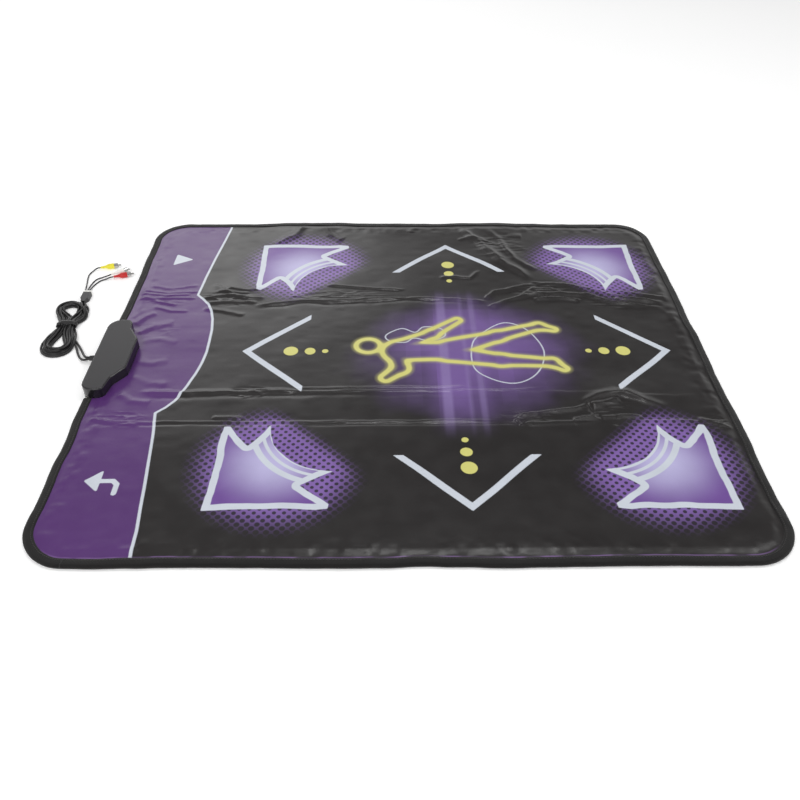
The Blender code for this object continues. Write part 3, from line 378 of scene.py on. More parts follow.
WRINKLES = tuple(
    # Height, width, skew, then the points of its line.
    Wrinkle(tuple(line), height, width, skew) for height, width, skew, *line in (
        # The near side's upper crease, raised and flat to the left, then two thin lines.
        (1.5, 4.5, 0, (-395, -99), (-280, -100), (-150, -98)),
        (-0.4, 5, 0, (-395, -111), (-150, -108), (110, -103)),
        (0.9, 2, 0, (-170, -90), (100, -88)),
        (0.9, 2, 0, (-170, -98), (155, -96), (205, -89)),
        (0.3, 5, 0.5, (-150, -105), (130, -99), (260, -104), (440, -112)),
        # The near fold line.
        (0.7, 2.4, 0.3, (-452, -164), (-200, -166), (60, -162), (149, -160)),
        (-0.5, 2.6, 0, (-452, -171), (-120, -170), (111, -169), (240, -169)),
        (0.6, 3, 0.3, (290, -166), (380, -164), (452, -170)),
        (1.3, 3, 0, (-446, -158), (-405, -168), (-370, -171)),
        (1.3, 3, 0, (-275, -157), (-230, -159)),
        (1.2, 2.6, 0, (-165, -166), (-80, -165)),
        (1.9, 3.2, 0.35, (146, -158), (165, -148), (200, -144), (238, -139), (261, -128)),
        (2.6, 7.5, 0, (246, -128), (268, -117), (291, -109), (312, -108), (340, -119), (376, -136)),
        (2.4, 4.6, 0.3, (260, -131), (282, -127), (306, -119)),
        (2.0, 3.2, 0.35, (160, -167), (181, -168), (233, -166), (249, -157), (269, -160)),
        (2.8, 5.5, 0.3, (230, -162), (250, -160), (271, -154)),
        (-1.6, 3.4, 0, (260, -127), (263, -145), (268, -163)),
        (1.7, 3.4, 0.3, (270, -157), (301, -155), (332, -157)),
        (-1.0, 3.4, 0, (296, -152), (292, -164), (290, -176)),
        (1.4, 3, 0, (405, -160), (430, -168), (455, -181)),
        (1.2, 2.6, 0, (150, -160), (158, -172)),
        # The far fold line and the folds that run into it.
        (1.3, 3, 0, (-452, 149), (-400, 152), (-350, 150)),
        (0.9, 3.4, 0, (-452, 176), (-400, 168), (-345, 171)),
        (1.1, 3.4, 0, (-446, 158), (-410, 140), (-380, 128)),
        (0.9, 2.8, 0, (-448, 166), (-405, 160), (-360, 163)),
        (0.9, 4, 0, (-440, 186), (-395, 181), (-352, 190)),
        (0.9, 4, 0, (-420, 128), (-385, 112), (-356, 110)),
        (2.2, 4, 0.3, (-254, 125), (-181, 142), (-71, 146), (5, 151)),
        (-0.8, 5, 0, (-254, 116), (-181, 133), (0, 141), (120, 138)),
        (1.2, 4, 0.3, (-5, 150), (70, 147), (140, 141)),
        (1.3, 3.5, 0, (-140, 194), (-47, 179), (5, 175)),
        (1.3, 4, 0, (60, 216), (90, 217), (116, 213), (135, 240)),
        (2.2, 4.5, -0.3, (228, 196), (186, 181), (153, 169), (134, 146)),
        (2.4, 4.5, -0.3, (230, 188), (200, 158), (172, 144), (137, 124)),
        (2.4, 5.5, 0.3, (215, 198), (259, 196), (294, 188), (329, 169), (364, 151), (446, 134)),
        (2.0, 5, 0.3, (188, 150), (224, 162), (270, 165), (312, 158), (352, 134), (438, 120)),
        (1.4, 4, 0.3, (215, 146), (262, 150), (300, 142)),
        (1.3, 4.5, 0.3, (360, 172), (400, 160), (448, 148)),
        (1.6, 3.5, 0.3, (-345, 151), (-300, 160), (-232, 149)),
        (1.5, 3.5, 0.3, (-335, 134), (-290, 143), (-245, 137)),
        (1.5, 4, 0.3, (-330, 196), (-296, 166), (-262, 150)),
        (1.2, 3.5, 0, (-322, 172), (-262, 166)),
        (1.1, 3.5, 0, (-305, 185), (-268, 176), (-240, 181)),
        (1.2, 4.5, 0, (-336, 118), (-300, 112), (-262, 96)),
        # Folds that run down from the far edge.
        (2.4, 8, 0, (104, 400), (120, 376), (140, 345), (153, 312), (177, 270), (205, 237), (226, 202)),
        (1.7, 6, 0, (158, 398), (181, 352), (187, 317), (201, 279), (240, 236)),
        (1.1, 5, 0, (101, 347), (121, 357), (146, 354), (157, 336)),
        (0.7, 7, 0, (196, 366), (226, 362)),
        (1.8, 8, 0, (-190, 402), (-205, 362), (-236, 330)),
        (1.2, 7, 0, (-150, 402), (-138, 370), (-112, 345)),
        (1.0, 6, 0, (20, 402), (14, 380)),
        # Puckers round the box.
        (0.8, 6, 0, (-420, -100), (-396, -118), (-366, -121)),
        (0.6, 7, 0, (-412, -62), (-380, -78), (-350, -80)),
        (0.4, 7, 0, (-413, -20), (-384, -30), (-360, -26)),
        (0.5, 7, 0, (-416, 24), (-388, 30), (-356, 22)),
        (0.9, 6, 0, (-428, 50), (-404, 72), (-372, 80)),
        (0.9, 6, 0, (-438, 72), (-424, 96), (-408, 108)),
    )
)
CRUMPLES = tuple(
    # x, y, reach each way, height, and the folds' size where it isn't the usual one.
    Crumple(*row) for row in (
        (-230, -100, 46, 16, 0.8), (60, -95, 70, 16, 0.4), (-290, 152, 62, 34, 0.7),
        (235, 175, 60, 34, 0.8, 18), (180, 320, 60, 70, 0.6, 22), (165, -158, 60, 22, 0.5),
        (285, -140, 60, 30, 0.5, 18), (-405, -160, 50, 22, 0.6), (430, -168, 34, 20, 0.7),
        (-120, 158, 110, 26, 0.4), (370, 140, 80, 30, 0.7, 20), (-400, 150, 50, 40, 0.5, 16),
        (-392, 60, 40, 30, 0.3, 18),
    )
)
SWELLS = (
    # (x, y, reach each way, height) where the whole cover stands up in a low dome.
    (-205, 372, 55, 60, 4.5), (-60, 412, 190, 60, 2.6), (150, 396, 60, 50, 3.0), (170, 290, 40, 60, 3.0),
    (300, -105, 60, 34, 2.4), (300, 180, 90, 34, 2.0), (-300, 160, 50, 40, 1.6),
)


def swell(x: Array, y: Array) -> Array:
    """The height of the low domes."""
    return sum(h * np.exp(-(((x - cx) / rx) ** 2) - ((y - cy) / ry) ** 2) for cx, cy, rx, ry, h in SWELLS)


def edge_lift(x: Array, y: Array) -> Array:
    """How far the mat's edge stands off the floor, a little here and there."""
    wave = np.maximum(noise(x, y, 85, 11) + 0.35 * noise(x, y, 30, 12), 0)
    return 1.6 * wave * (1 - smooth(mat_inset(x, y), 6, 55)) + 0.8 * swell(x, y)


def cover_height(x: Array, y: Array) -> Array:
    """The cover's top: puffed by the foam, wrinkled, and drawn down to the binding.

    Args:
        x: where, across the mat.
        y: where, along the mat.
    Returns:
        The heights, in millimetres.
    """
    depth = mat_inset(x, y)
    held = smooth(depth, 11.5, 26)
    relief = 0.55 * noise(x, y * 1.3, 120, 1) + 0.3 * noise(x, y, 47, 2) + 0.1 * noise(x, y * 1.5, 19, 3)
    for fold in (*WRINKLES, *CRUMPLES):
        relief += fold.lift(x, y)
    # Folds beside the near fold line stay low enough for the panel that folds over onto them.
    room = np.maximum(1.5, 0.3 * np.abs(y - MAT.near_fold_y) - 1.2)
    relief = room - positive(room - relief)
    pucker = 0.5 * noise(x * 1.4, y * 1.4, 16, 4) * smooth(depth, 11, 19) * (1 - smooth(depth, 22, 48))
    height = MAT.cover_z + 1.15 * held - 0.35 * (1 - held) + relief * held + pucker
    least = MAT.cover_z - 0.6
    return least + positive(height - least) + edge_lift(x, y)


def tape_sway(x: Array, y: Array) -> Array:
    """How far the tape wanders outwards at each point of the mat's outer edge."""
    return 1.3 + 1.6 * noise(x, y, 48, 41) + 0.25 * noise(x, y, 17, 42)


# ---------------------------------------------------------------- the print, as distances over the cover


class Print:
    """The printed shapes. Each method gives, at each point, a distance in millimetres, negative inside."""

    centre = 79.0
    reach = 333.0
    stroke = 14.0
    stroke_length = 100.0
    dot_rows = ((258, 11.2), (228, 8.5), (204, 5.0))
    band = ((-329, 420), (-329, 393), (-338, 308), (-347, 217), (-351, 160), (-338, 144.5), (-326.5, 129.5),
            (-318, 109), (-313, 87.5), (-310, 58), (-309, 28), (-309.5, 0), (-312, -28), (-315.5, -56),
            (-321.6, -84), (-327, -102), (-333.5, -119), (-344, -134), (-356, -146), (-349.6, -189),
            (-340.5, -266), (-330, -364), (-328.6, -396), (-327, -420))
    arrow_corner = (337.0, 331.0)
    arrow_side = ((0, 0), (2, 60), (3, 100), (1.5, 140), (4, 156), (12, 157), (22, 143), (33, 128), (42, 118),
                  (50, 128), (60, 143), (70, 160))
    tail = 156.0
    tail_radius = 85.5
    figure = (
        (((-10, 0), (70, 0)), (26, 21)), (((70, 9), (146, 40), (216, 66)), (20, 13, 8)),
        (((68, -6), (146, -22), (222, -30)), (20, 14, 9)), (((216, 66), (238, 58)), (8, 5)),
        (((222, -30), (238, -46)), (9, 5)), (((-10, 14), (42, 46), (84, 84)), (14, 10, 6)),
        (((-14, -10), (-8, -44), (-30, -66)), (14, 11, 8)),
    )
    head = (-58.0, 15.0, 19.0)
    joint = 16.0
    loops = (
        ((105, 22), (132, 58), (160, 76), (186, 66), (204, 40), (214, 0), (204, -42), (184, -70), (158, -80),
         (126, -68), (102, -40)),
        ((-30, 44), (-6, 62), (16, 52), (30, 66), (56, 60), (62, 40), (40, 28), (14, 36), (0, 24), (-24, 28)),
    )

    @classmethod
    def chevrons(cls, x: Array, y: Array) -> Array:
        """The four corner strokes that point outwards from the middle of the step zones.

        Args:
            x: the points' x, in millimetres.
            y: the points' y, in millimetres.
        Returns:
            Each point's distance outside the shape, in millimetres; negative within it.
        """
        u, v = np.abs(x - cls.centre), np.abs(y)
        best = np.full(x.shape, np.inf)
        for ahead, side in ((u, v), (v, u)):
            back = cls.reach - ahead
            q = back - side
            ends = (back - cls.stroke_length) * 1.4
            best = np.minimum(best, np.maximum(np.maximum(-q, q - cls.stroke), ends) / math.sqrt(2))
        return best

    @classmethod
    def dots(cls, x: Array, y: Array) -> Array:
        """Three dots behind each corner stroke, smaller towards the middle.

        Args:
            x: the points' x, in millimetres.
            y: the points' y, in millimetres.
        Returns:
            Each point's distance outside the shape, in millimetres; negative within it.
        """
        best = np.full(x.shape, np.inf)
        for away, radius in cls.dot_rows:
            for ahead, side in ((x - cls.centre, y), (y, x - cls.centre)):
                best = np.minimum(best, np.hypot(np.abs(ahead) - away, side) - radius)
        return best

    @classmethod
    def arrows(cls, x: Array, y: Array) -> tuple[Array, Array]:
        """The four arrows, which mirror each other: two straight sides, barbs, notches and a hollow tail.

        Args:
            x: the points' x.
            y: the points' y.
        Returns:
            The distance to the outline, and the distance to its straight strokes alone.
        """
        wobble = 1.1 * noise(x, y, 26, 31) + 0.5 * noise(x, y, 9, 32)
        u = cls.arrow_corner[0] - np.abs(x - cls.centre) + wobble
        v = cls.arrow_corner[1] - np.abs(y) + 1.1 * noise(x, y, 24, 33)
        first, last = math.atan2(4, -85.4), math.atan2(-85.4, 4) + math.tau
        arc = [tuple(cls.tail + cls.tail_radius * way(first + (last - first) * k / 14)
                     for way in (math.cos, math.sin)) for k in range(1, 14)]
        outline = [*cls.arrow_side, *arc, *((b, a) for a, b in reversed(cls.arrow_side[1:]))]
        return polygon_distance(u, v, outline), to_line(u, v, outline[-11:] + outline[:12])[0]

    @classmethod
    def dancer(cls, x: Array, y: Array) -> Array:
        """A plain dancing figure of round-ended limbs.

        Args:
            x: the points' x, in millimetres.
            y: the points' y, in millimetres.
        Returns:
            Each point's distance outside the shape, in millimetres; negative within it.
        """
        best = np.hypot(x - cls.head[0], y - cls.head[1]) - cls.head[2]
        for line, radii in cls.figure:
            for k in range(len(line) - 1):
                away, _, share = to_line(x, y, line[k:k + 2])
                limb = away - radii[k] - (radii[k + 1] - radii[k]) * share
                blend = np.clip(0.5 + (best - limb) / cls.joint, 0, 1)
                best = best * (1 - blend) + limb * blend - cls.joint / 2 * blend * (1 - blend)
        return best

    @classmethod
    def thin_loops(cls, x: Array, y: Array) -> Array:
        """Closed loops drawn as thin lines; the sign turns at the line itself.

        Args:
            x: the points' x, in millimetres.
            y: the points' y, in millimetres.
        Returns:
            The signed distances, in millimetres.
        """
        out = np.full(x.shape, 60.0)
        near = (np.abs(x - 90) < 160) & (np.abs(y) < 120)
        for loop in cls.loops:
            outline = [tuple(p) for p in smooth_line([*loop, loop[0]], 3, True)]
            d = polygon_distance(x[near], y[near], outline[:-1])
            both = out[near]
            out[near] = np.where(np.abs(d) < np.abs(both), d * np.where(both < 0, -1, 1), both * np.sign(d))
        return out

    @classmethod
    def symbols(cls, x: Array, y: Array) -> Array:
        """Plain signs on the two menu zones: a triangle to start with, and a bent arrow to go back.

        Args:
            x: the points' x, in millimetres.
            y: the points' y, in millimetres.
        Returns:
            Each point's distance outside the shape, in millimetres; negative within it.
        """
        start = polygon_distance(x, y, [(-412, 262), (-412, 294), (-384, 278)]) - 2
        back = polygon_distance(x, y, [(-416, -278), (-398, -262), (-398, -294)]) - 1.5
        away, _, _ = to_line(x, y, [(-400, -278), (-380, -278), (-374, -284), (-374, -300)])
        return np.minimum(np.minimum(start, back), away - 3.5)

    @classmethod
    def rim(cls, x: Array, y: Array) -> Array:
        """Distance inside the tape's inner edge, exact along the straight sides.

        Args:
            x: the points' x, in millimetres.
            y: the points' y, in millimetres.
        Returns:
            The distances, in millimetres.
        """
        upright = MAT.half_width - np.abs(x) < MAT.half_depth - np.abs(y)
        edge_x = np.where(upright, np.sign(x) * MAT.half_width, x)
        edge_y = np.where(upright, y, np.sign(y) * MAT.half_depth)
        return mat_inset(x, y) - Binding.profile[0][0] + tape_sway(edge_x, edge_y)


# ---------------------------------------------------------------- materials


class Graph:
    """A node tree with short calls; most give the new node's output."""

    def __init__(self, tree: NodeTree) -> None:
        """Works in this tree."""
        self.tree = tree

    def feed(self, socket: Socket, value: Input | None) -> None:
        """Links or sets a socket.

        Args:
            socket: the input to feed.
            value: what it gets: another socket, a number or a tuple; None leaves it.
        """
        if isinstance(value, Socket):
            self.tree.links.new(value, socket)
        elif value is not None:
            socket.default_value = value

    def add(self, kind: str, values: dict | None = None, **settings) -> Node:
        """A new node.

        Args:
            kind: the node's type.
            values: its inputs, by name or number.
            settings: its own settings.
        Returns:
            The node.
        """
        node = self.tree.nodes.new(kind)
        for key, value in settings.items():
            setattr(node, key, value)
        for key, value in (values or {}).items():
            self.feed(node.inputs[key], value)
        return node

    def math(self, operation: str, *values: Input) -> Socket:
        """A Math node's output."""
        return self.add("ShaderNodeMath", dict(enumerate(values)), operation=operation).outputs[0]

    def plus(self, a: Input, b: Input) -> Socket:
        """The sum of two values."""
        return self.math("ADD", a, b)

    def minus(self, a: Input, b: Input) -> Socket:
        """The first value less the second."""
        return self.math("SUBTRACT", a, b)

    def over(self, a: Input, b: Input) -> Socket:
        """The first value divided by the second."""
        return self.math("DIVIDE", a, b)

    def away(self, value: Input, place: Input) -> Socket:
        """How far a value is from a place."""
        return self.math("ABSOLUTE", self.minus(value, place))

    def times(self, *values: Input) -> Socket:
        """The product of several values.

        Args:
            values: sockets or numbers.
        Returns:
            The product, as a socket.
        """
        out = values[0]
        for value in values[1:]:
            out = self.math("MULTIPLY", out, value)
        return out

    def most(self, *values: Input) -> Socket:
        """The largest of several values.

        Args:
            values: sockets or numbers.
        Returns:
            The largest, as a socket.
        """
        out = values[0]
        for value in values[1:]:
            out = self.math("MAXIMUM", out, value)
        return out

    def length(self, a: Input, b: Input) -> Socket:
        """The length of a flat vector."""
        return self.math("SQRT", self.plus(self.times(a, a), self.times(b, b)))

    def ramp(self, value: Input, low: float, high: float, to: tuple[float, float] = (0.0, 1.0)) -> Socket:
        """A soft step from low to high."""
        values = {"Value": value, "From Min": low, "From Max": high, "To Min": to[0], "To Max": to[1]}
        return self.add("ShaderNodeMapRange", values, interpolation_type="SMOOTHSTEP").outputs["Result"]

    def below(self, value: Input, edge: float, width: float = 0.7) -> Socket:
        """1 where a value is under an edge, fading over width each way."""
        return self.ramp(value, edge + width, edge - width)

    def mix(self, share: Input, a: Input, b: Input) -> Socket:
        """Colour a at share 0 and b at share 1."""
        return self.add("ShaderNodeMix", {0: share, 6: a, 7: b}, data_type="RGBA").outputs[2]

    def attribute(self, name: str) -> Socket:
        """A number stored on the mesh's points."""
        return self.add("ShaderNodeAttribute", attribute_name=name).outputs["Fac"]

    def millimetres(self) -> tuple[Socket, ...]:
        """The point on the object in millimetres: as a vector, then its x, y and z.

        Returns:
            The vector and its three parts.
        """
        place = self.add("ShaderNodeTexCoord").outputs["Object"]
        scaled = self.add("ShaderNodeVectorMath", {0: place, "Scale": 1000.0}, operation="SCALE").outputs[0]
        return scaled, *self.add("ShaderNodeSeparateXYZ", {0: scaled}).outputs

    def noise(self, vector: Socket, scale: Input, detail: float = 2.0) -> Socket:
        """A Noise node's value."""
        return self.add("ShaderNodeTexNoise", {"Vector": vector, "Scale": scale, "Detail": detail}).outputs[0]

    def bump(self, height: Socket, normal: Socket | None = None, strength: float = 1.0) -> Socket:
        """A normal bumped by a height in metres."""
        values = {"Height": height, "Normal": normal, "Distance": 1.0, "Strength": strength}
        return self.add("ShaderNodeBump", values).outputs[0]

    def cells(self, x: Socket, y: Socket, pitch: float) -> list[Socket]:
        """The place in each square of a slanted grid, from -0.5 to 0.5 both ways."""
        return [self.minus(self.math("FRACT", self.over(self.math(way, x, y), pitch)), 0.5)
                for way in ("ADD", "SUBTRACT")]


def make_grain_group() -> NodeTree:
    """The group that gives a surface its fine grain: a mottled colour and a bumped normal.

    Returns:
        The group.
    """
    tree = bpy.data.node_groups.new("surface_grain", "ShaderNodeTree")
    for way, sockets in (("INPUT", {"Colour": "Color", "Size": "Float", "Depth": "Float", "Mottle": "Float"}),
                         ("OUTPUT", {"Colour": "Color", "Normal": "Vector", "Value": "Float"})):
        for label, kind in sockets.items():
            tree.interface.new_socket(name=label, in_out=way, socket_type=f"NodeSocket{kind}")
    g = Graph(tree)
    given, out = g.add("NodeGroupInput").outputs, g.add("NodeGroupOutput").inputs
    vector, *_ = g.millimetres()
    fine = g.noise(vector, g.over(1.0, given["Size"]), 3.0)
    broad = g.noise(vector, 0.035, 3.0)
    swing = g.times(g.minus(g.plus(fine, broad), 1.0), given["Mottle"])
    bright = g.add("ShaderNodeHueSaturation", {"Color": given["Colour"], "Value": g.plus(1.0, swing)})
    bump = g.bump(g.times(fine, given["Depth"]))
    for label, value in (("Colour", bright.outputs[0]), ("Normal", bump), ("Value", broad)):
        g.feed(out[label], value)
    return tree


@dataclass(frozen=True)
class Finish:
    """A finish: its displayed colour, gloss and fine grain (size in millimetres, depth in metres)."""

    colour: tuple[float, float, float]
    roughness: float = 0.5
    metallic: float = 0.0
    grain: float = 0.6
    depth: float = 0.00002
    mottle: float = 0.15


class Slot(Enum):
    """The record's material slots and their finishes."""

    PRINTED_VINYL = Finish((25, 21, 21), 0.36)
    BACKING_CLOTH = Finish((46, 45, 47), 0.85, 0, 0.5, 0.0001, 0.3)
    FILM = Finish((196, 200, 196), 0.3)
    FOAM = Finish((222, 220, 210), 0.9, 0, 0.9, 0.0002, 0.15)
    BINDING_TAPE = Finish((26, 24, 24), 0.85)
    BOX_PLASTIC = Finish((27, 25, 29), 0.4, 0, 0.45, 0.000008)
    BLACK_PLASTIC = Finish((32, 32, 34), 0.42, 0, 0.5, 0.00001)
    BATTERY_CASE = Finish((60, 74, 96), 0.3)
    STEEL = Finish((188, 188, 186), 0.25, 1.0, 0.4, 0.000005)
    CIRCUIT_BOARD = Finish((28, 84, 52), 0.4)
    WHITE_PLASTIC = Finish((246, 245, 240), 0.35)
    YELLOW_PLASTIC = Finish((238, 226, 60), 0.33)
    RED_PLASTIC = Finish((196, 34, 34), 0.33)
    CORD_RUBBER = Finish((22, 21, 22), 0.4, 0, 0.5, 0.00001)
    SPLITTER_RUBBER = Finish((42, 41, 43), 0.45, 0, 0.5, 0.00001)

    @property
    def label(self) -> str:
        """The slot's name in the record."""
        return self.name.lower()


class Materials:
    """Makes each material once and hands it out."""

    def __init__(self) -> None:
        """Makes the group that they share."""
        self.grain = make_grain_group()
        self.made: dict[str, Material] = {}

    def start(self, slot: Slot) -> tuple[Material, Graph, Node, Node]:
        """A new material, with its grain group joined to its shader.

        Args:
            slot: which material.
        Returns:
            The material, its graph, the grain group's node and the shader's node.
        """
        finish = slot.value
        material = bpy.data.materials.new(slot.label)
        material.use_nodes = True
        material.node_tree.nodes.clear()
        graph = Graph(material.node_tree)
        grain = graph.add("ShaderNodeGroup", node_tree=self.grain)
        for label, value in (("Colour", rgb(*finish.colour)), ("Size", finish.grain), ("Depth", finish.depth),
                             ("Mottle", finish.mottle)):
            graph.feed(grain.inputs[label], value)
        shader = graph.add("ShaderNodeBsdfPrincipled", {
            "Base Color": grain.outputs["Colour"], "Normal": grain.outputs["Normal"],
            "Roughness": finish.roughness, "Metallic": finish.metallic})
        graph.add("ShaderNodeOutputMaterial", {"Surface": shader.outputs[0]})
        return material, graph, grain, shader

    def get(self, slot: Slot) -> Material:
        """The material of a slot.

        Args:
            slot: which finish it is.
        Returns:
            The material, made when it is first asked for.
        """
        if slot.label not in self.made:
            build = {Slot.PRINTED_VINYL: self.vinyl, Slot.BINDING_TAPE: self.tape,
                     Slot.BACKING_CLOTH: self.cloth, Slot.BOX_PLASTIC: self.case}.get(slot)
            self.made[slot.label] = build() if build else self.start(slot)[0]
            log.info("material %s", slot.label)
        return self.made[slot.label]

    @staticmethod
    def glow(g: Graph, vector: Socket, x: Socket, y: Socket) -> tuple[Socket, Socket]:
        """The glow in the middle of the print, with its plaid, and its three beams.

        Args:
            g: the material's graph.
            vector: the point in millimetres.
            x: its x.
            y: its y.
        Returns:
            The glow's share and the beams' share.
        """
        far = g.length(g.over(g.minus(x, 100.0), 196.0), g.over(g.plus(y, 8.0), 168.0))
        cloud = g.minus(g.noise(vector, 0.011, 3.0), 0.5)
        soft = g.ramp(g.plus(far, g.times(cloud, 0.5)), 1.05, 0.2)
        height = g.below(g.away(y, -12.0), 150.0, 45.0)
        column = g.times(g.below(g.away(x, 80.0), 38.0, 18.0), 0.34, height)
        beams = g.most(*(g.times(g.below(g.away(x, place), half, 3.0), share)
                         for place, half, share in ((59.0, 7.0, 0.6), (92.0, 3.0, 0.3), (110.0, 4.5, 0.45))))
        checks = [g.add("ShaderNodeTexWhiteNoise", {"W": g.math("FLOOR", g.over(along, wide))},
                        noise_dimensions="1D").outputs["Value"] for along, wide in ((x, 23.0), (y, 29.0))]
        plaid = g.plus(0.68, g.times(g.plus(*checks), 0.32))
        return g.math("MINIMUM", g.times(g.plus(soft, column), plaid), 1.0), g.times(beams, height)

    @staticmethod
    def halo(g: Graph, u: Socket, v: Socket, x: Socket, y: Socket) -> Socket:
        """The share of half-tone ink behind an arrow.

        Args:
            g: the graph that the nodes join.
            u: the place across the arrow's square.
            v: the place along the arrow's square.
            x: the place across the mat.
            y: the place along the mat.
        Returns:
            The share, from 0 to 1.
        """
        across, along = g.minus(u, 84.0), g.minus(v, 80.0)
        slant = g.times(g.plus(across, along), math.sqrt(0.5))
        halo = g.times(g.ramp(g.length(across, along), 128.0, 72.0), g.ramp(slant, 84.0, 50.0))
        dot = g.times(g.length(*g.cells(x, y, 12.4)), 8.77)
        hole = g.ramp(g.minus(g.ramp(halo, 1.0, 0.0, (2.5, 3.8)), dot), -0.6, 0.5)
        return g.times(halo, g.minus(1.0, g.times(hole, 0.9)))

    def vinyl(self) -> Material:
        """The printed vinyl: the art, and a painted highlight beside the near tape, from distances on the
        points; its shading from the place.

        Returns:
            The material.
        """
        material, g, grain, shader = self.start(Slot.PRINTED_VINYL)
        vector, x, y, _ = g.millimetres()
        u = g.minus(Print.arrow_corner[0], g.away(x, Print.centre))
        v = g.minus(Print.arrow_corner[1], g.math("ABSOLUTE", y))
        body, band, figure = (g.attribute(name) for name in ("arrow", "band", "figure"))
        glow, beams = self.glow(g, vector, x, y)
        colour = g.mix(glow, rgb(*Slot.PRINTED_VINYL.value.colour), rgb(114, 86, 150))
        colour = g.mix(beams, colour, rgb(142, 122, 176))
        colour = g.mix(self.halo(g, u, v, x, y), colour, rgb(128, 96, 168))
        colour = g.mix(g.below(band, 0.0), colour, rgb(84, 46, 110))
        # The arrows' fill, then all white ink.
        fill = g.mix(g.ramp(g.length(g.minus(u, 80.0), g.minus(v, 86.0)), 8.0, 92.0),
                     rgb(188, 182, 222), rgb(110, 74, 150))
        colour = g.mix(g.below(body, 0.0), colour, fill)
        tail = g.minus(g.length(g.minus(u, Print.tail), g.minus(v, Print.tail)), Print.tail_radius)
        stripes = (g.below(g.away(tail, place), half)
                   for place, half in ((0.5, 2.0), (11.5, 2.4), (25.0, 4.4)))
        inner = g.times(g.below(body, 0.0), g.most(*stripes, g.below(g.attribute("arrow_stroke"), 9.6)))
        loops = g.times(g.below(g.away(g.attribute("loops"), 0.0), 1.1, 0.8), 0.92)
        white = g.most(inner, g.below(g.attribute("white"), 0.0), g.below(g.away(band, 0.0), 2.0), loops)
        colour = g.mix(white, colour, rgb(206, 212, 222))
        # A painted highlight: a thin pale line where the cover rolls down beside the tape, along the near
        # edge only, broken here and there.
        rim = g.times(g.below(g.away(g.attribute("rim"), 1.0), 0.9), g.below(y, -398.0, 14.0),
                      g.ramp(g.noise(vector, 0.03), 0.4, 0.6, (0.15, 0.85)))
        colour = g.mix(rim, colour, rgb(138, 104, 164))
        # The yellow figure, drawn as a glowing outline, and the dots.
        line = g.away(figure, 0.0)
        colour = g.mix(g.times(g.ramp(line, 11.0, 3.0), 0.45), colour, rgb(190, 186, 110))
        yellow = g.most(g.below(line, 4.1, 1.5), g.below(g.attribute("dots"), 0.0))
        g.feed(grain.inputs["Colour"], g.mix(yellow, colour, rgb(214, 210, 122)))
        g.feed(shader.inputs["Roughness"], g.ramp(grain.outputs["Value"], 0.3, 0.7, (0.29, 0.34)))
        return material

    def tape(self) -> Material:
        """Woven binding tape: ribs along it, from its own map in millimetres, and a row of stitches.

        Returns:
            The material.
        """
        material, g, grain, shader = self.start(Slot.BINDING_TAPE)
        along, across = g.attribute("tape_along"), g.attribute("tape_across")
        ribs, rows, gaps = (g.math("SINE", g.times(way, math.tau / pitch))
                            for way, pitch in ((along, 1.6), (across, 1.3), (along, 3.6)))
        weave = g.plus(g.times(ribs, 0.5), g.times(rows, 0.9))
        stitch = g.times(g.ramp(g.away(across, 3.2), 0.7, 0.3), g.ramp(gaps, -0.5, -0.1))
        height = g.plus(g.times(weave, 0.00012), g.times(stitch, 0.0005))
        # Painted shade: the weave's colour is darker in its hollows and lighter on its ribs, following the
        # height of its bump.
        base = g.mix(g.ramp(weave, -1.0, 1.0), rgb(11, 10, 10), rgb(30, 28, 28))
        g.feed(grain.inputs["Colour"], g.mix(stitch, base, rgb(40, 38, 37)))
        g.feed(shader.inputs["Normal"], g.bump(height, grain.outputs["Normal"], 0.9))
        g.feed(shader.inputs["Sheen Weight"], 0.2)
        g.feed(shader.inputs["Specular IOR Level"], 0.2)
        return material

    def case(self) -> Material:
        """The control box: a matte top, with polished edges and sides.

        Returns:
            The material.
        """
        material, g, _, shader = self.start(Slot.BOX_PLASTIC)
        soft = g.add("ShaderNodeBevel", {"Radius": 0.004}, samples=8).outputs[0]
        up = g.add("ShaderNodeSeparateXYZ", {0: soft}).outputs[2]
        g.feed(shader.inputs["Roughness"], g.ramp(up, 0.95, 0.999, (0.17, 0.5)))
        g.feed(shader.inputs["Normal"], soft)
        g.feed(shader.inputs["Specular IOR Level"], 0.65)
        return material

    def cloth(self) -> Material:
        """Non-slip backing: dark cloth with rows of small raised dots.

        Returns:
            The material.
        """
        material, g, grain, shader = self.start(Slot.BACKING_CLOTH)
        _, x, y, _ = g.millimetres()
        dot = g.ramp(g.length(*g.cells(x, y, 9.0)), 0.24, 0.17)
        g.feed(grain.inputs["Colour"], g.mix(dot, rgb(40, 39, 41), rgb(66, 65, 68)))
        g.feed(shader.inputs["Normal"], g.bump(g.times(dot, 0.0004), grain.outputs["Normal"]))
        return material


# ---------------------------------------------------------------- meshes


def points_of(mesh: Mesh) -> Array:
    """The mesh's points, one a row, in millimetres.

    Args:
        mesh: the mesh.
    Returns:
        An array of three columns.
    """
    co = np.zeros(len(mesh.vertices) * 3, np.float32)
    mesh.vertices.foreach_get("co", co)
    return co.reshape(-1, 3).astype(float) / MM


def set_points(mesh: Mesh, points: Array) -> None:
    """Moves the mesh's points to these, in millimetres."""
    mesh.vertices.foreach_set("co", (points * MM).astype(np.float32).ravel())
    mesh.update()


def store(mesh: Mesh, name: str, values: Array) -> None:
    """Stores one number at each point of the mesh."""
    attribute = mesh.attributes.get(name) or mesh.attributes.new(name, "FLOAT", "POINT")
    attribute.data.foreach_set("value", values.astype(np.float32))


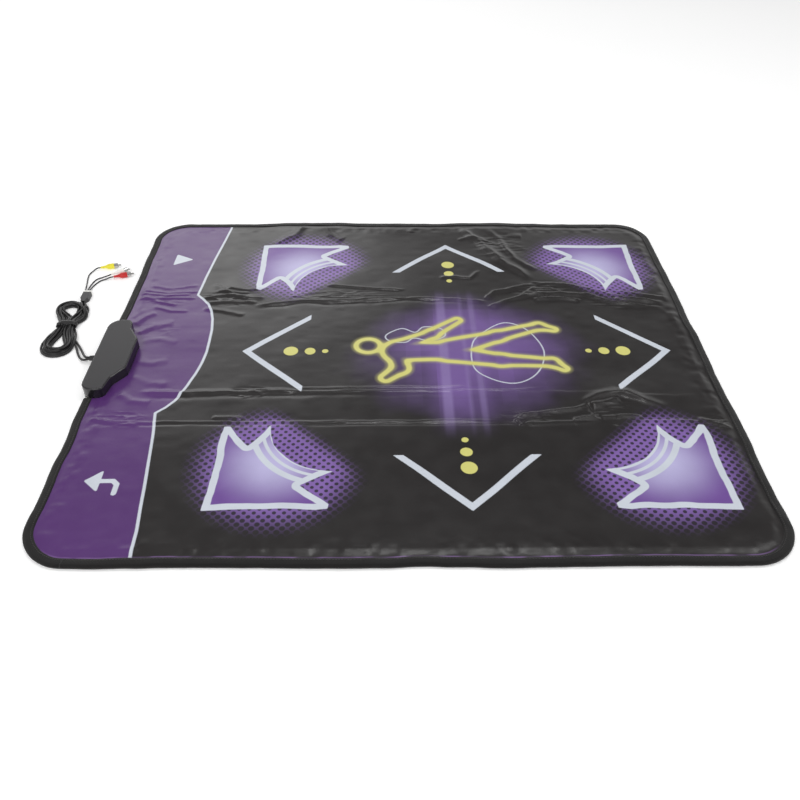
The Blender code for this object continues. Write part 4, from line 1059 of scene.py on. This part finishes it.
def piece(name: str, bm: BMesh, materials: Materials, slot: Slot) -> Object:
    """A smooth-shaded object in the scene.

    Args:
        name: its name.
        bm: its mesh, which is used up.
        materials: where its material comes from.
        slot: its material slot.
    Returns:
        The object.
    """
    mesh = bpy.data.meshes.new(name)
    bm.to_mesh(mesh)
    bm.free()
    mesh.shade_smooth()
    mesh.materials.append(materials.get(slot))
    obj = bpy.data.objects.new(name, mesh)
    bpy.context.scene.collection.objects.link(obj)
    slot.label
    log.info("piece %s: %d faces", name, len(mesh.polygons))
    return obj


def flat_points(bm: BMesh) -> Array:
    """The x and y of a mesh's points, one a row, in millimetres."""
    return np.array([v.co[:2] for v in bm.verts]) / MM


def grid(low: tuple[float, float], high: tuple[float, float], step: float,
         keep: Callable[[Array, Array], Array], snap: bool) -> BMesh:
    """A flat grid over a rectangle, cut to an outline.

    Args:
        low: the rectangle's low corner.
        high: its high corner.
        step: the grid's spacing.
        keep: a function of x and y that is positive where the piece is.
        snap: whether points just outside are moved onto the outline.
    Returns:
        The grid, in metres, at z 0.
    """
    bm = bmesh.new()
    nx, ny = round((high[0] - low[0]) / step), round((high[1] - low[1]) / step)
    size = Matrix.Diagonal(((high[0] - low[0]) * MM, (high[1] - low[1]) * MM, 1, 1))
    middle = Matrix.Translation(((high[0] + low[0]) / 2 * MM, (high[1] + low[1]) / 2 * MM, 0))
    bmesh.ops.create_grid(bm, x_segments=nx, y_segments=ny, size=0.5, matrix=middle @ size)
    bm.verts.index_update()
    room = keep(*flat_points(bm).T)
    gone = [f for f in bm.faces if all(room[v.index] < 0 for v in f.verts)]
    if gone:
        bmesh.ops.delete(bm, geom=gone, context="FACES")
    co = flat_points(bm)
    stray = np.flatnonzero(keep(*co.T) < 0)
    if snap and len(stray):
        spots, e = co[stray], 0.1
        for _ in range(4):
            x, y = spots.T
            here = keep(x, y)
            slope = np.stack([keep(x + e, y) - here, keep(x, y + e) - here], 1) / e
            spots = spots - slope * (here / np.maximum((slope**2).sum(1), 0.2))[:, None]
        bm.verts.ensure_lookup_table()
        for index, spot in zip(stray, spots):
            bm.verts[index].co.xy = spot * MM
    return bm


def bridge(bm: BMesh, rings: list, closed: bool) -> None:
    """Faces between each ring of points and the next.

    Args:
        bm: the mesh.
        rings: rings of its points, all as long.
        closed: whether a ring's last point joins its first.
    """
    for a, b in zip(rings, rings[1:]):
        for k in range(0 if closed else 1, len(a)):
            bm.faces.new((a[k - 1], b[k - 1], b[k], a[k]))


def bend(obj: Object, panel: str) -> None:
    """Lets a piece of an outer panel bend at its fold, or ride the middle panel.

    Args:
        obj: the piece.
        panel: the panel that it lies on.
    """
    if panel == ROOT_BODY:
        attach(obj, panel)
        return
    start, end = MAT.near_bend if panel == "near_panel" else MAT.far_bend
    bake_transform(obj, ROOT_BODY, panel, (0, start * MM, 0), (0, end * MM, 0))


# ---------------------------------------------------------------- the mat's soft pieces


@dataclass(frozen=True)
class Cover:
    """The printed cover in three panels with windows, and a patch of it on each zone."""

    materials: Materials
    half_width: float = 463.0
    flat_width: float = 0.922
    inset: float = 5.0
    step: float = 2.0
    press_rim: float = 20.0

    def build(self) -> None:
        """Makes every piece of the cover."""
        for label, (panel, low, high) in PANELS.items():
            self.build_panel(label, panel, low, high)
        for zone in ZONES:
            self.build_patch(zone)

    def cut(self, name: str, low: tuple[float, float], high: tuple[float, float], snap: bool) -> Object:
        """A dressed piece of cover.

        Args:
            name: its name.
            low: the low corner of its rectangle.
            high: the high corner.
            snap: whether it is a panel, with windows and with its edge on the outline.
        Returns:
            The object.
        """
        bm = grid(low, high, self.step, room_inside(self.inset), snap)
        if snap:
            middles = ((face, face.calc_center_median().xy / MM) for face in bm.faces)
            windows = [face for face, (x, y) in middles
                       if any(z.x[0] < x < z.x[1] and z.y[0] < y < z.y[1] for z in ZONES)]
            bmesh.ops.delete(bm, geom=windows, context="FACES")
        obj = piece(name, bm, self.materials, Slot.PRINTED_VINYL)
        self.dress(obj.data)
        return obj

    def build_panel(self, label: str, panel: str, low: float, high: float) -> None:
        """One panel of the cover.

        Args:
            label: near, middle or far.
            panel: the body that it rides.
            low: its low y.
            high: its high y.
        """
        obj = self.cut(f"cover_{label}", (-self.half_width, low), (self.half_width, high), True)
        bend(obj, panel)
        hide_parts(f"top_cover_{label}")

    def build_patch(self, zone: Zone) -> None:
        """The patch on one zone: its middle goes down with the zone and its rim stays.

        Args:
            zone: the zone that the patch covers.
        """
        obj = self.cut(f"cover_{zone.name}", (zone.x[0], zone.y[0]), (zone.x[1], zone.y[1]), False)
        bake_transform(obj, zone.panel, zone.name, (0, 0, 0), (0, 0, 1))
        x, y, _ = points_of(obj.data).T
        room = np.minimum.reduce([x - zone.x[0], zone.x[1] - x, y - zone.y[0], zone.y[1] - y])
        store(obj.data, "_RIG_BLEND", smooth(room, 0, self.press_rim))
        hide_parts(zone.name)

    @staticmethod
    def dress(mesh: Mesh) -> None:
        """Gives a flat mesh of the cover its height, its normals and its print.

        Args:
            mesh: the mesh, in metres, flat until now.
        """
        points = points_of(mesh)
        x, y = points[:, 0], points[:, 1]
        points[:, 2] = cover_height(x, y)
        set_points(mesh, points)
        px, py = x + 1.5 * noise(x, y, 64, 71), y + 1.5 * noise(x, y, 58, 72)
        body, strokes = Print.arrows(px, py)
        away, side, _ = to_line(px, py, Print.band)
        for name, values in (
            ("white", np.minimum(Print.chevrons(px, py), Print.symbols(px, py))),
            ("dots", Print.dots(px, py)), ("figure", Print.dancer(px, py)),
            ("loops", Print.thin_loops(px, py)), ("band", away * side), ("rim", Print.rim(x, y)),
            ("arrow", body), ("arrow_stroke", strokes),
        ):
            store(mesh, name, values)
        e = 0.6
        slope_x = (cover_height(x + e, y) - cover_height(x - e, y)) / (2 * e)
        slope_y = (cover_height(x, y + e) - cover_height(x, y - e)) / (2 * e)
        normals = np.stack([-slope_x, -slope_y, np.ones(len(x))], 1)
        normals /= np.linalg.norm(normals, axis=1)[:, None]
        mesh.normals_split_custom_set_from_vertices(normals.tolist())


@dataclass(frozen=True)
class Backing:
    """The non-slip cloth under the mat, in three panels."""

    materials: Materials
    half_width: float = 464.0
    flat_width: float = 0.924
    inset: float = 3.0
    step: float = 4.0
    z: float = 0.75

    def build(self) -> None:
        """Makes the three pieces; the outer ones reach a whole number of steps past the edge."""
        for label, (panel, low_y, high_y) in PANELS.items():
            low = low_y if label != "near" else high_y - self.step * 64
            high = high_y if label != "far" else low_y + self.step * 73
            bm = grid((-self.half_width, low), (self.half_width, high), self.step,
                      room_inside(self.inset), True)
            bmesh.ops.reverse_faces(bm, faces=bm.faces)
            obj = piece(f"cloth_{label}", bm, self.materials, Slot.BACKING_CLOTH)
            points = points_of(obj.data)
            points[:, 2] = self.z - 0.45 * smooth(mat_inset(points[:, 0], points[:, 1]), 15, 22)
            set_points(obj.data, points)
            bend(obj, panel)
            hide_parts(f"backing_{label}")


@dataclass(frozen=True)
class Binding:
    """The tape sewn round the edge, in five lengths that end at the folds and at the box.

    The profile runs from the upper inner edge round the outside to the lower inner edge. Each row is how far
    in it is, its height over the cover or, below the turn, over the cover's level, and how much of the
    edge's rise off the floor it takes there.
    """

    materials: Materials
    profile: tuple[tuple[float, float, float], ...] = (
        (13.0, 0.1, 1), (12.7, 0.7, 1), (11.6, 0.95, 1), (8.0, 1.0, 1), (4.5, 0.9, 1), (1.6, 0.4, 1),
        (0.3, -1.0, 1), (0, -2.6, 0.5), (0.5, -4.1, 0.15), (1.9, -5.1, 0), (4.5, -5.5, 0), (8.5, -5.6, 0),
        (12.6, -5.6, 0), (13.9, -5.5, 0), (14.2, -5.0, 0))
    turn: float = -2.0
    width: float = 14.0
    step: float = 2.0

    def path(self) -> Array:
        """The mat's outer edge from the near left corner round.

        Returns:
            x, y, outward x, outward y and the length so far, one point a row.
        """
        reach = MAT.half_width - MAT.corner, MAT.half_depth - MAT.corner
        rows = []
        for side, (tx, ty) in enumerate(((1, 0), (0, 1), (-1, 0), (0, -1))):
            ox, oy = ty, -tx
            flat, out = reach[side % 2], (MAT.half_depth, MAT.half_width)[side % 2]
            rows += [(tx * s + ox * out, ty * s + oy * out, ox, oy)
                     for s in np.arange(-flat, flat + 0.1, self.step)]
            middle_x, middle_y = (tx + ox) * reach[0], (ty + oy) * reach[1]
            for a in np.linspace(0, math.pi / 2, 40)[1:-1]:
                nx, ny = ox * math.cos(a) + tx * math.sin(a), oy * math.cos(a) + ty * math.sin(a)
                rows.append((middle_x + MAT.corner * nx, middle_y + MAT.corner * ny, nx, ny))
        path = np.array(rows)
        steps = np.hypot(*np.diff(path[:, :2], axis=0).T)
        return np.column_stack([path, np.concatenate([[0], np.cumsum(steps)])])

    def build(self) -> None:
        """Makes the five lengths of tape."""
        path = self.path()
        x, y = path[:, 0], path[:, 1]
        parts = {
            "near": ("near_panel", y <= MAT.near_bend[0] + 0.01),
            "far": ("far_panel", y >= MAT.far_bend[0] - 0.01),
            "right": (ROOT_BODY, (x > 0) & (np.abs(y + 19) <= 144.01)),
            "left_near": (ROOT_BODY, (x < 0) & (y >= MAT.near_bend[0] - 0.01) & (y <= -110.9)),
            "left_far": (ROOT_BODY, (x < 0) & (y >= 64.9) & (y <= MAT.far_bend[0] + 0.01)),
        }
        for label, (panel, chosen) in parts.items():
            row = np.flatnonzero(chosen)
            gap = np.flatnonzero(np.diff(row) > 1)
            if len(gap):
                row = np.concatenate([row[gap[0] + 1:], row[:gap[0] + 1]])
            obj = self.build_length(label, path[row])
            bend(obj, panel)
            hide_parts(f"edge_binding_{label}")

    def build_length(self, label: str, here: Array) -> Object:
        """One length of tape.

        Args:
            label: which length.
            here: its rows of the edge's path.
        Returns:
            The tape.
        """
        outward = here[:, 2:4]
        edge = here[:, :2] + outward * tape_sway(here[:, 0], here[:, 1])[:, None]
        cover, lift = cover_height(*(edge - outward * self.width).T), edge_lift(*edge.T)
        table = np.zeros((len(here), len(self.profile), 3))
        for k, (inset, rise, taken) in enumerate(self.profile):
            share = min(inset / 13, 1)
            top = cover * share + (MAT.cover_z - 0.2 + lift) * (1 - share)
            z = top + rise if rise > self.turn else MAT.cover_z + rise + 0.4 + lift * taken
            z = z + 0.25 * noise(edge[:, 0], edge[:, 1] + 7 * k, 21, 43) * (rise > 0)
            table[:, k] = np.column_stack([edge - outward * inset, z])
        bm = bmesh.new()
        bridge(bm, [[bm.verts.new(point * MM) for point in ring] for ring in table], False)
        bmesh.ops.recalc_face_normals(bm, faces=bm.faces)
        obj = piece(f"tape_{label}", bm, self.materials, Slot.BINDING_TAPE)
        across = [math.dist(a[:2], b[:2]) for a, b in zip(self.profile, self.profile[1:])]
        store(obj.data, "tape_along", np.repeat(here[:, 4], len(self.profile)))
        store(obj.data, "tape_across", np.tile(np.concatenate([[0], np.cumsum(across)]), len(here)))
        return obj


# ---------------------------------------------------------------- cords


@dataclass(frozen=True)
class CordSizes:
    """The cords and leads, their routes measured from the end of the gland."""

    start: tuple[float, float] = (-482.3, -20.0)
    diameter: float = 3.6
    lead_diameter: float = 2.2
    boxes: dict = field(default_factory=lambda: {
        "video": ((-0.4, 1.95, 8.5), (-4, 1.95, 8.4), (-9.8, 7, 4.6), (-15.5, 17.5, 2.1), (-25, 33.5, 1.9),
                  (-32.5, 46.5, 1.9)),
        "audio": ((-0.4, -1.95, 8.5), (-4, -1.95, 8.4), (-10.8, -0.9, 4.4), (-17, 7, 2), (-24.5, 20, 1.9),
                  (-30.5, 32, 1.9)),
    })
    hank: tuple = ((-38, 46), (-42, 67), (-51, 91), (-42.5, 110), (-42, 130), (-50, 149), (-62, 161),
                   (-78, 168), (-90, 163), (-93, 148), (-88, 124), (-78, 96), (-86, 68), (-90, 42),
                   (-80, 20), (-62, 12.5), (-50, 14), (-41, 26))
    tie: tuple[float, float] = (-64.5, 93.5)
    splitter: tuple[float, float] = (-58.0, 161.0)
    collar: tuple[float, float, float, float] = (27.6, 31.9, 6.9, 8.4)
    leads: dict = field(default_factory=lambda: {
        "yellow": ((-62.6, 193.2, 3.6), (-66, 203, 2.8), (-69.5, 221, 1.3), (-73.5, 242, 1.3),
                   (-74.5, 255, 1.3), (-71, 266, 1.8)),
        "white": ((-59.6, 193.2, 3.6), (-62, 205, 2.4), (-61.5, 223, 1.3), (-57.5, 238, 1.3),
                  (-49, 245, 1.6)),
        "red": ((-56.6, 193.2, 3.6), (-58, 205, 2.4), (-56, 220, 1.3), (-49.5, 233.5, 1.3),
                (-41.5, 239, 1.7)),
    })
    plugs: dict = field(default_factory=lambda: {
        "yellow": (-58.8, 273.1, 15.7), "white": (-34.2, 249.7, 34.8), "red": (-27.9, 242.1, 18.9)})
    plug_z: float = 4.9
    fine: float = 1.5

    def at(self, x: float, y: float, z: float = 0.0) -> tuple[float, float, float]:
        """A point given from the end of the gland, in the frame."""
        return (self.start[0] + x, self.start[1] + y, z)


CORDS = CordSizes()


class Hank:
    """The tied figure of cord: both cords wind round one outline, then settle on each other as they fall."""

    spacing = 3.0
    turns = 5
    tightest = 14.2
    inward = ((0.5, 12.0, 3.5, 17.0, 6.0, 14.0), (5.0, 1.0, 14.0, 8.0, 19.0, 3.0))
    push, pull, chord_push = 0.42, 0.35, 0.3
    stiffness = ((1, 0.06), (2, 0.05), (3, 0.04))
    longest_move = 0.9
    tie_half_width = 11.5
    tie_top = 12.0
    lowest = 1.85

    def __init__(self) -> None:
        """Works out the outline, and how far inward a strand may lie at each of its points."""
        outline = [CORDS.at(*p)[:2] for p in CORDS.hank]
        self.loop = smooth_line([*outline, outline[0]], 2.0, True)[:-1]
        self.tie = CORDS.at(*CORDS.tie)
        back, ahead = self.loop - np.roll(self.loop, 5, axis=0), np.roll(self.loop, -5, axis=0) - self.loop
        turned = np.arctan2(back[:, 0] * ahead[:, 1] - back[:, 1] * ahead[:, 0], (back * ahead).sum(1))
        radius = np.linalg.norm(back, axis=1) / np.maximum(turned, 0.05)
        room = np.min([np.roll(radius, k) for k in range(-7, 8)], axis=0)
        self.room = np.mean([np.roll(room, k) for k in range(-5, 6)], axis=0)

    def strand(self, cord: int) -> Array:
        """One cord's windings before they settle.

        Args:
            cord: 0 or 1.
        Returns:
            Its points, in millimetres.
        """
        n, depths = len(self.loop), self.inward[cord]
        finish = next(i for i in range(n) if self.loop[i][1] > CORDS.at(0, 126)[1])
        out = []
        for s in range(3, (self.turns - 1) * n + finish):
            i, turn = s % n, s // n
            here, ahead = self.loop[i], self.loop[(i + 2) % n] - self.loop[i - 2]
            left = np.array([-ahead[1], ahead[0]]) / np.linalg.norm(ahead)
            share = float(smooth(np.array(i / n), 0.62, 0.95))
            above = here[1] - self.tie[1]
            waist = math.exp(-((above / 15) ** 2))
            stray = noise(np.array([float(s)]), np.array([cord * 50.0]), 42, 61 + cord)[0] * 5.0 * (1 - waist)
            depth = depths[turn] * (1 - share) + depths[turn + 1] * share
            depth = min(depth * (1 - 0.45 * waist) + stray + 1.5, max(self.room[i] - 5.0, 1.5))
            if turn == 2 + cord and here[0] > self.tie[0] and -6 < above < 40:
                depth -= 16 * math.exp(-(((above - 15) / 12) ** 2))
            out.append((*(here + left * depth), 2.0 + 2.3 * turn + 1.2 * cord))
        rough = np.array(out)[::4]
        return smooth_line(eased(rough, 1, len(rough) - 1, 4), self.spacing)

    def stiffen(self, points: Array, order: Array, move: Array) -> None:
        """Adds to move what a cord's stiffness does: it evens its bends out, and opens the tightest.

        Args:
            points: every cord's points.
            order: each point's place along its own cord.
            move: the moves so far, one a point, which are changed.
        """
        for reach, share in self.stiffness:
            i = np.flatnonzero(order[4 * reach:] == order[:-4 * reach] + 4 * reach) + 2 * reach
            move[i] -= share * (points[i - 2 * reach] + points[i + 2 * reach] + 6 * points[i]
                                - 4 * (points[i - reach] + points[i + reach]))
        for reach in (3, 5, 7, 9, 11):
            first = np.flatnonzero(order[reach:] == order[:-reach] + reach)
            span = points[first + reach] - points[first]
            chord = np.linalg.norm(span, axis=1) + 1e-9
            least = 2 * self.tightest * math.sin(reach * self.spacing / (2 * self.tightest))
            span *= (np.maximum(least - chord, 0) / chord * self.chord_push)[:, None]
            move[first] -= span
            move[first + reach] += span

    def settle(self, strands: list[Array], rounds: int = 90) -> list[Array]:
        """Lets the strands push each other apart and drop onto the floor.

        Args:
            strands: each cord's points, about spacing apart; the ends stay where they are.
            rounds: how many small moves to make.
        Returns:
            The points where they come to rest.
        """
        points = np.vstack(strands)
        cord = np.concatenate([np.full(len(p), k) for k, p in enumerate(strands)])
        order = np.concatenate([np.arange(len(p)) for p in strands])
        free = np.concatenate([(np.arange(len(p)) > 6) & (np.arange(len(p)) < len(p) - 3) for p in strands])
        links = np.flatnonzero(np.diff(order) == 1)
        rest = np.linalg.norm(points[links + 1] - points[links], axis=1)
        wide = CORDS.diameter * 1.02
        apart = (cord[:, None] != cord[None]) | (np.abs(order[:, None] - order[None]) > 3)
        for step in range(rounds):
            square = (points**2).sum(1)
            one, two = np.nonzero(apart & (square[:, None] + square[None] - 2 * points @ points.T < wide**2))
            gap = points[one] - points[two]
            away = np.linalg.norm(gap, axis=1) + 1e-9
            move = np.zeros_like(points)
            np.add.at(move, one, gap * ((wide - away) * self.push / away)[:, None])
            self.stiffen(points, order, move)
            link = points[links + 1] - points[links]
            long = np.linalg.norm(link, axis=1)
            link *= ((long - rest) / long * self.pull)[:, None]
            move[links] += link
            move[links + 1] -= link
            size = np.linalg.norm(move, axis=1)
            move *= (np.minimum(size, self.longest_move) / np.maximum(size, 1e-9))[:, None]
            move[:, 2] -= 0.16 if step < rounds - 15 else 0.03
            points = points + move * free[:, None]
            held = free & (np.abs(points[:, 1] - self.tie[1]) < 5)
            side = points[held, 0] - self.tie[0]
            points[held, 0] = self.tie[0] + np.clip(side, -self.tie_half_width, self.tie_half_width)
            points[held, 2] = np.minimum(points[held, 2], self.tie_top)
            points[:, 2] = np.maximum(points[:, 2], self.lowest)
        return [points[cord == k] for k in range(len(strands))]


@dataclass(frozen=True)
class Cords:
    """The two cords with their windings and strap, and the three leads from the splitter to the plugs."""

    materials: Materials
    strap_section: tuple = ((-3.4, 0.0), (-2.9, 0.7), (0, 0.95), (2.9, 0.7), (3.4, 0.0), (2.9, -0.45),
                            (-2.9, -0.45))
    strap_turns: int = 2
    strap_steps: int = 48

    def build(self) -> None:
        """Makes the cords, the strap, the collar and the leads."""
        hank = Hank()
        foot = CORDS.at(*CORDS.splitter)
        lines = []
        for side, route in enumerate(CORDS.boxes.values()):
            shift = 2.0 if side else -2.0
            end = [(foot[0] + shift * 1.6 + 4, foot[1] - 12, 6.5 - side),
                   (foot[0] + shift, foot[1] - 0.5, 4.2), (foot[0] + shift, foot[1] + 3, 4.1)]
            line = np.vstack([[CORDS.at(*p) for p in route], hank.strand(side)[2:], end])
            lines.append(eased(even_line(smooth_line(line, CORDS.fine), hank.spacing), 2, 14, 5))
        lines = [eased(line, 1, len(line) - 1, 3) for line in hank.settle(lines)]
        strap = self.build_strap(hank.tie[1], np.vstack(lines))
        for label, line in zip(CORDS.boxes, lines):
            line = smooth_line(line, CORDS.fine)
            obj = self.curve(f"cord_{label}", line, CORDS.diameter)
            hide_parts(f"{label}_cord", "cord_hank")
            Vector(line[0]) * MM
            round(line_length(line), 2)
        self.build_collar()
        for colour in CORDS.leads:
            self.build_lead(colour)

    def curve(self, name: str, line: Array, diameter: float) -> Object:
        """A round cord that rides the middle panel.

        Args:
            name: its name.
            line: its points, in millimetres.
            diameter: in millimetres.
        Returns:
            The curve.
        """
        curve = bpy.data.curves.new(name, "CURVE")
        curve.dimensions = "3D"
        spline = curve.splines.new("POLY")
        spline.points.add(len(line) - 1)
        spline.points.foreach_set("co", np.column_stack([line * MM, np.ones(len(line))]).ravel())
        spline.use_smooth = True
        curve.bevel_depth, curve.bevel_resolution, curve.use_fill_caps = diameter / 2 * MM, 4, True
        curve.materials.append(self.materials.get(Slot.CORD_RUBBER))
        obj = bpy.data.objects.new(name, curve)
        bpy.context.scene.collection.objects.link(obj)
        Slot.CORD_RUBBER.label
        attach(obj, ROOT_BODY)
        log.info("%s %.3f m", name, line_length(line))
        return obj

    def build_strap(self, tie_y: float, points: Array) -> Object:
        """The strap wound twice round the middle of the hank.

        Args:
            tie_y: where it is.
            points: the settled cords' points, which it lies round.
        Returns:
            The strap.
        """
        held = points[np.abs(points[:, 1] - tie_y) < 5]
        low, high = held.min(axis=0), held.max(axis=0)
        middle, half = (low[0] + high[0]) / 2, (high[0] - low[0]) / 2 + CORDS.diameter / 2 + 0.5
        tall = (high[2] + CORDS.diameter / 2 + 0.6) / 2
        bm = bmesh.new()
        rings = []
        count = self.strap_turns * self.strap_steps
        for k in range(count + 1):
            turns = k / self.strap_steps
            a = math.tau * turns + 2.0
            c, d = math.cos(a), math.sin(a)
            x = middle + math.copysign(abs(c) ** 0.75, c) * (half + 0.55 * turns)
            z = tall + math.copysign(abs(d) ** 0.8, d) * (tall - 0.4 + 0.5 * turns)
            out = Vector((c / 17, 0, d / 7)).normalized()
            shift = tie_y - 2.6 + 5.4 * k / count + 0.4 * math.sin(3 * a)
            spots = (Vector((x, shift + y, max(z, 0.5))) + out * t for y, t in self.strap_section)
            rings.append([bm.verts.new((s.x * MM, s.y * MM, max(s.z, 0.2) * MM)) for s in spots])
        bridge(bm, rings, True)
        bm.faces.new(rings[0])
        bm.faces.new(rings[-1][::-1])
        bmesh.ops.recalc_face_normals(bm, faces=bm.faces)
        obj = piece("hank_strap", bm, self.materials, Slot.CORD_RUBBER)
        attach(obj, ROOT_BODY)
        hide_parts("cord_tie")
        return obj

    def build_collar(self) -> None:
        """The pale collar at the splitter's upper end."""
        near, far, half, tall = CORDS.collar
        middle = Vector(CORDS.at(CORDS.splitter[0], CORDS.splitter[1] + (near + far) / 2, tall / 2)) * MM
        size = (2 * half * MM, (far - near) * MM, tall * MM, 1)
        bm = bmesh.new()
        bmesh.ops.create_cube(bm, size=1.0, matrix=Matrix.Translation(middle) @ Matrix.Diagonal(size))
        bmesh.ops.bevel(bm, geom=bm.edges[:], offset=1.1 * MM, segments=3, affect="EDGES", profile=0.5,
                        material=-1)
        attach(piece("splitter_collars", bm, self.materials, Slot.WHITE_PLASTIC), ROOT_BODY)

    def build_lead(self, colour: str) -> None:
        """One lead; its last points run into its plug.

        Args:
            colour: the lead's colour, which names its pieces.
        """
        x, y, angle = CORDS.plugs[colour]
        foot = Vector(CORDS.at(x, y, CORDS.plug_z))
        ahead = Vector((math.cos(math.radians(angle)), math.sin(math.radians(angle)), 0))
        end = [foot - ahead * 6 - Vector((0, 0, 0.4)), foot - ahead * 0.3]
        line = smooth_line([CORDS.at(*p) for p in CORDS.leads[colour]] + end, CORDS.fine)
        obj = self.curve(f"lead_cord_{colour}", line, CORDS.lead_diameter)
        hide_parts(f"lead_{colour}")
        round(line_length(line), 3)


# ---------------------------------------------------------------- the box, the small parts and the studio


@dataclass(frozen=True)
class HardParts:
    """The CAD's own pieces, which are shown as they are: their finishes and their soft edges."""

    materials: Materials
    slots: dict = field(default_factory=lambda: {
        "foam_spacer": Slot.FOAM, "contact_film": Slot.FILM, "box_upper_shell": Slot.BOX_PLASTIC,
        "box_lower_shell": Slot.BLACK_PLASTIC, "shell_screw": Slot.STEEL, "battery_door_screw": Slot.STEEL,
        "battery_door": Slot.BLACK_PLASTIC, "battery_spring": Slot.STEEL, "battery_flat": Slot.STEEL,
        "battery_": Slot.BATTERY_CASE, "main_board": Slot.CIRCUIT_BOARD,
        "membrane_connector": Slot.WHITE_PLASTIC, "ribbon_tail": Slot.FILM,
        "power_switch": Slot.BLACK_PLASTIC, "cord_gland": Slot.CORD_RUBBER,
        "lead_splitter": Slot.SPLITTER_RUBBER,
        "plug_grip_yellow": Slot.YELLOW_PLASTIC, "plug_grip_white": Slot.WHITE_PLASTIC,
        "plug_grip_red": Slot.RED_PLASTIC, "plug_contacts": Slot.STEEL,
    })
    edges: dict = field(default_factory=lambda: {
        "box_upper_shell": 1.1, "box_lower_shell": 0.4, "lead_splitter": 0.8, "cord_gland": 0.3,
        "power_switch_knob": 0.3, "battery_door": 0.3,
    })
    sharp: float = math.radians(36)

    def build(self) -> None:
        """Dresses every node that no visual piece has replaced."""
        for node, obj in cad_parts.items():
            if obj.hide_render:
                continue
            slot = next(slot for start, slot in self.slots.items() if node.startswith(start))
            obj.data.materials.clear()
            obj.data.materials.append(self.materials.get(slot))
            obj.data.shade_smooth()
            obj.data.set_sharp_from_angle(angle=self.sharp)
            if node in self.edges:
                edge = obj.modifiers.new("soft_edges", "BEVEL")
                edge.width, edge.segments, edge.limit_method = self.edges[node] * MM, 3, "ANGLE"
                edge.angle_limit, edge.harden_normals = self.sharp, True
            log.info("node %s: %s", node, slot.label)


@dataclass(frozen=True)
class Lamp:
    """An area light: where it is, what it points at, its size in metres and its power in watts."""

    name: str
    place: tuple[float, float, float]
    aim: tuple[float, float, float]
    size: tuple[float, float]
    power: float

    def build(self) -> Object:
        """The light in the scene.

        Returns:
            The lamp, placed and aimed.
        """
        light = bpy.data.lights.new(self.name, "AREA")
        light.shape, light.size, light.size_y, light.energy = "RECTANGLE", *self.size, self.power
        obj = bpy.data.objects.new(self.name, light)
        obj.location = self.place
        obj.rotation_euler = (Vector(self.aim) - Vector(self.place)).to_track_quat("-Z", "Y").to_euler()
        bpy.context.scene.collection.objects.link(obj)
        return obj


@dataclass(frozen=True)
class Studio:
    """Floor, lights, background and camera."""

    lamps: tuple[Lamp, ...] = (
        Lamp("key", (-1.3, -1.8, 2.2), (0, 0, 0), (1.3, 0.8), 26),
        Lamp("back", (-1.1, 2.8, 1.5), (0, 0.2, 0), (2.0, 1.0), 12),
        Lamp("side", (1.7, 0.0, 2.1), (0, 0, 0), (0.8, 0.6), 9),
        Lamp("top", (0.2, 0.45, 2.4), (0.1, 0, 0), (0.7, 0.25), 8),
    )
    eye: tuple[float, float, float] = (-0.0218, -1.0105, 0.7549)
    tilt: tuple[float, float, float] = (50.007, -0.271, -0.525)
    sensor: float = 36.0
    lens: float = 36.41
    floor_z: float = -0.0002
    floor_half: float = 6.0

    def build(self) -> None:
        """Sets the whole studio up."""
        scene = bpy.context.scene
        self.build_floor()
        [lamp.build() for lamp in self.lamps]
        self.build_world()
        camera = bpy.data.cameras.new("camera")
        camera.sensor_width, camera.lens = self.sensor, self.lens
        eye = bpy.data.objects.new("camera", camera)
        eye.location = self.eye
        eye.rotation_euler = Euler([math.radians(a) for a in self.tilt], "XYZ")
        scene.collection.objects.link(eye)
        scene.camera = eye
        scene.view_settings.view_transform = "Standard"

    def build_floor(self) -> Object:
        """The white floor.

        Returns:
            The floor.
        """
        bm = bmesh.new()
        bmesh.ops.create_grid(bm, x_segments=1, y_segments=1, size=self.floor_half)
        mesh = bpy.data.meshes.new("floor")
        bm.to_mesh(mesh)
        bm.free()
        floor = bpy.data.objects.new("floor", mesh)
        floor.location.z = self.floor_z
        bpy.context.scene.collection.objects.link(floor)
        material = bpy.data.materials.new("floor_white")
        material.use_nodes = True
        inputs = material.node_tree.nodes["Principled BSDF"].inputs
        for name, value in (("Base Color", (0.97, 0.97, 0.97, 1)), ("Roughness", 0.95),
                            ("Specular IOR Level", 0.0), ("Emission Color", (1, 1, 1, 1)),
                            ("Emission Strength", 0.2)):
            inputs[name].default_value = value
        mesh.materials.append(material)
        return floor

    @staticmethod
    def build_world() -> None:
        """A plain white background, and a sky with a dark middle that only the reflections and light see."""
        world = bpy.data.worlds.new("studio")
        bpy.context.scene.world = world
        world.use_nodes = True
        world.node_tree.nodes.clear()
        g = Graph(world.node_tree)
        path = g.add("ShaderNodeLightPath").outputs
        direct = g.most(path["Is Camera Ray"], path["Is Transmission Ray"])
        up = g.add("ShaderNodeSeparateXYZ", {0: g.add("ShaderNodeTexCoord").outputs["Generated"]}).outputs[2]
        sky = g.plus(g.ramp(up, 0.36, 0.58, (1.0, 0.17)), g.ramp(up, 0.66, 0.9, (0.0, 0.42)))
        lit, plain = (g.add("ShaderNodeBackground", {"Color": (1, 1, 1, 1), "Strength": strength}).outputs[0]
                      for strength in (sky, 1.0))
        both = g.add("ShaderNodeMixShader", {0: direct, 1: lit, 2: plain})
        g.add("ShaderNodeOutputWorld", {"Surface": both.outputs[0]})


def main() -> None:
    """Builds everything, in the shared frame."""
    materials = Materials()
    for part in (Cover(materials), Backing(materials), Binding(materials), Cords(materials),
                 HardParts(materials), Studio()):
        part.build()
        log.info("%s built", type(part).__name__)


if __name__ == "__main__":
    main()
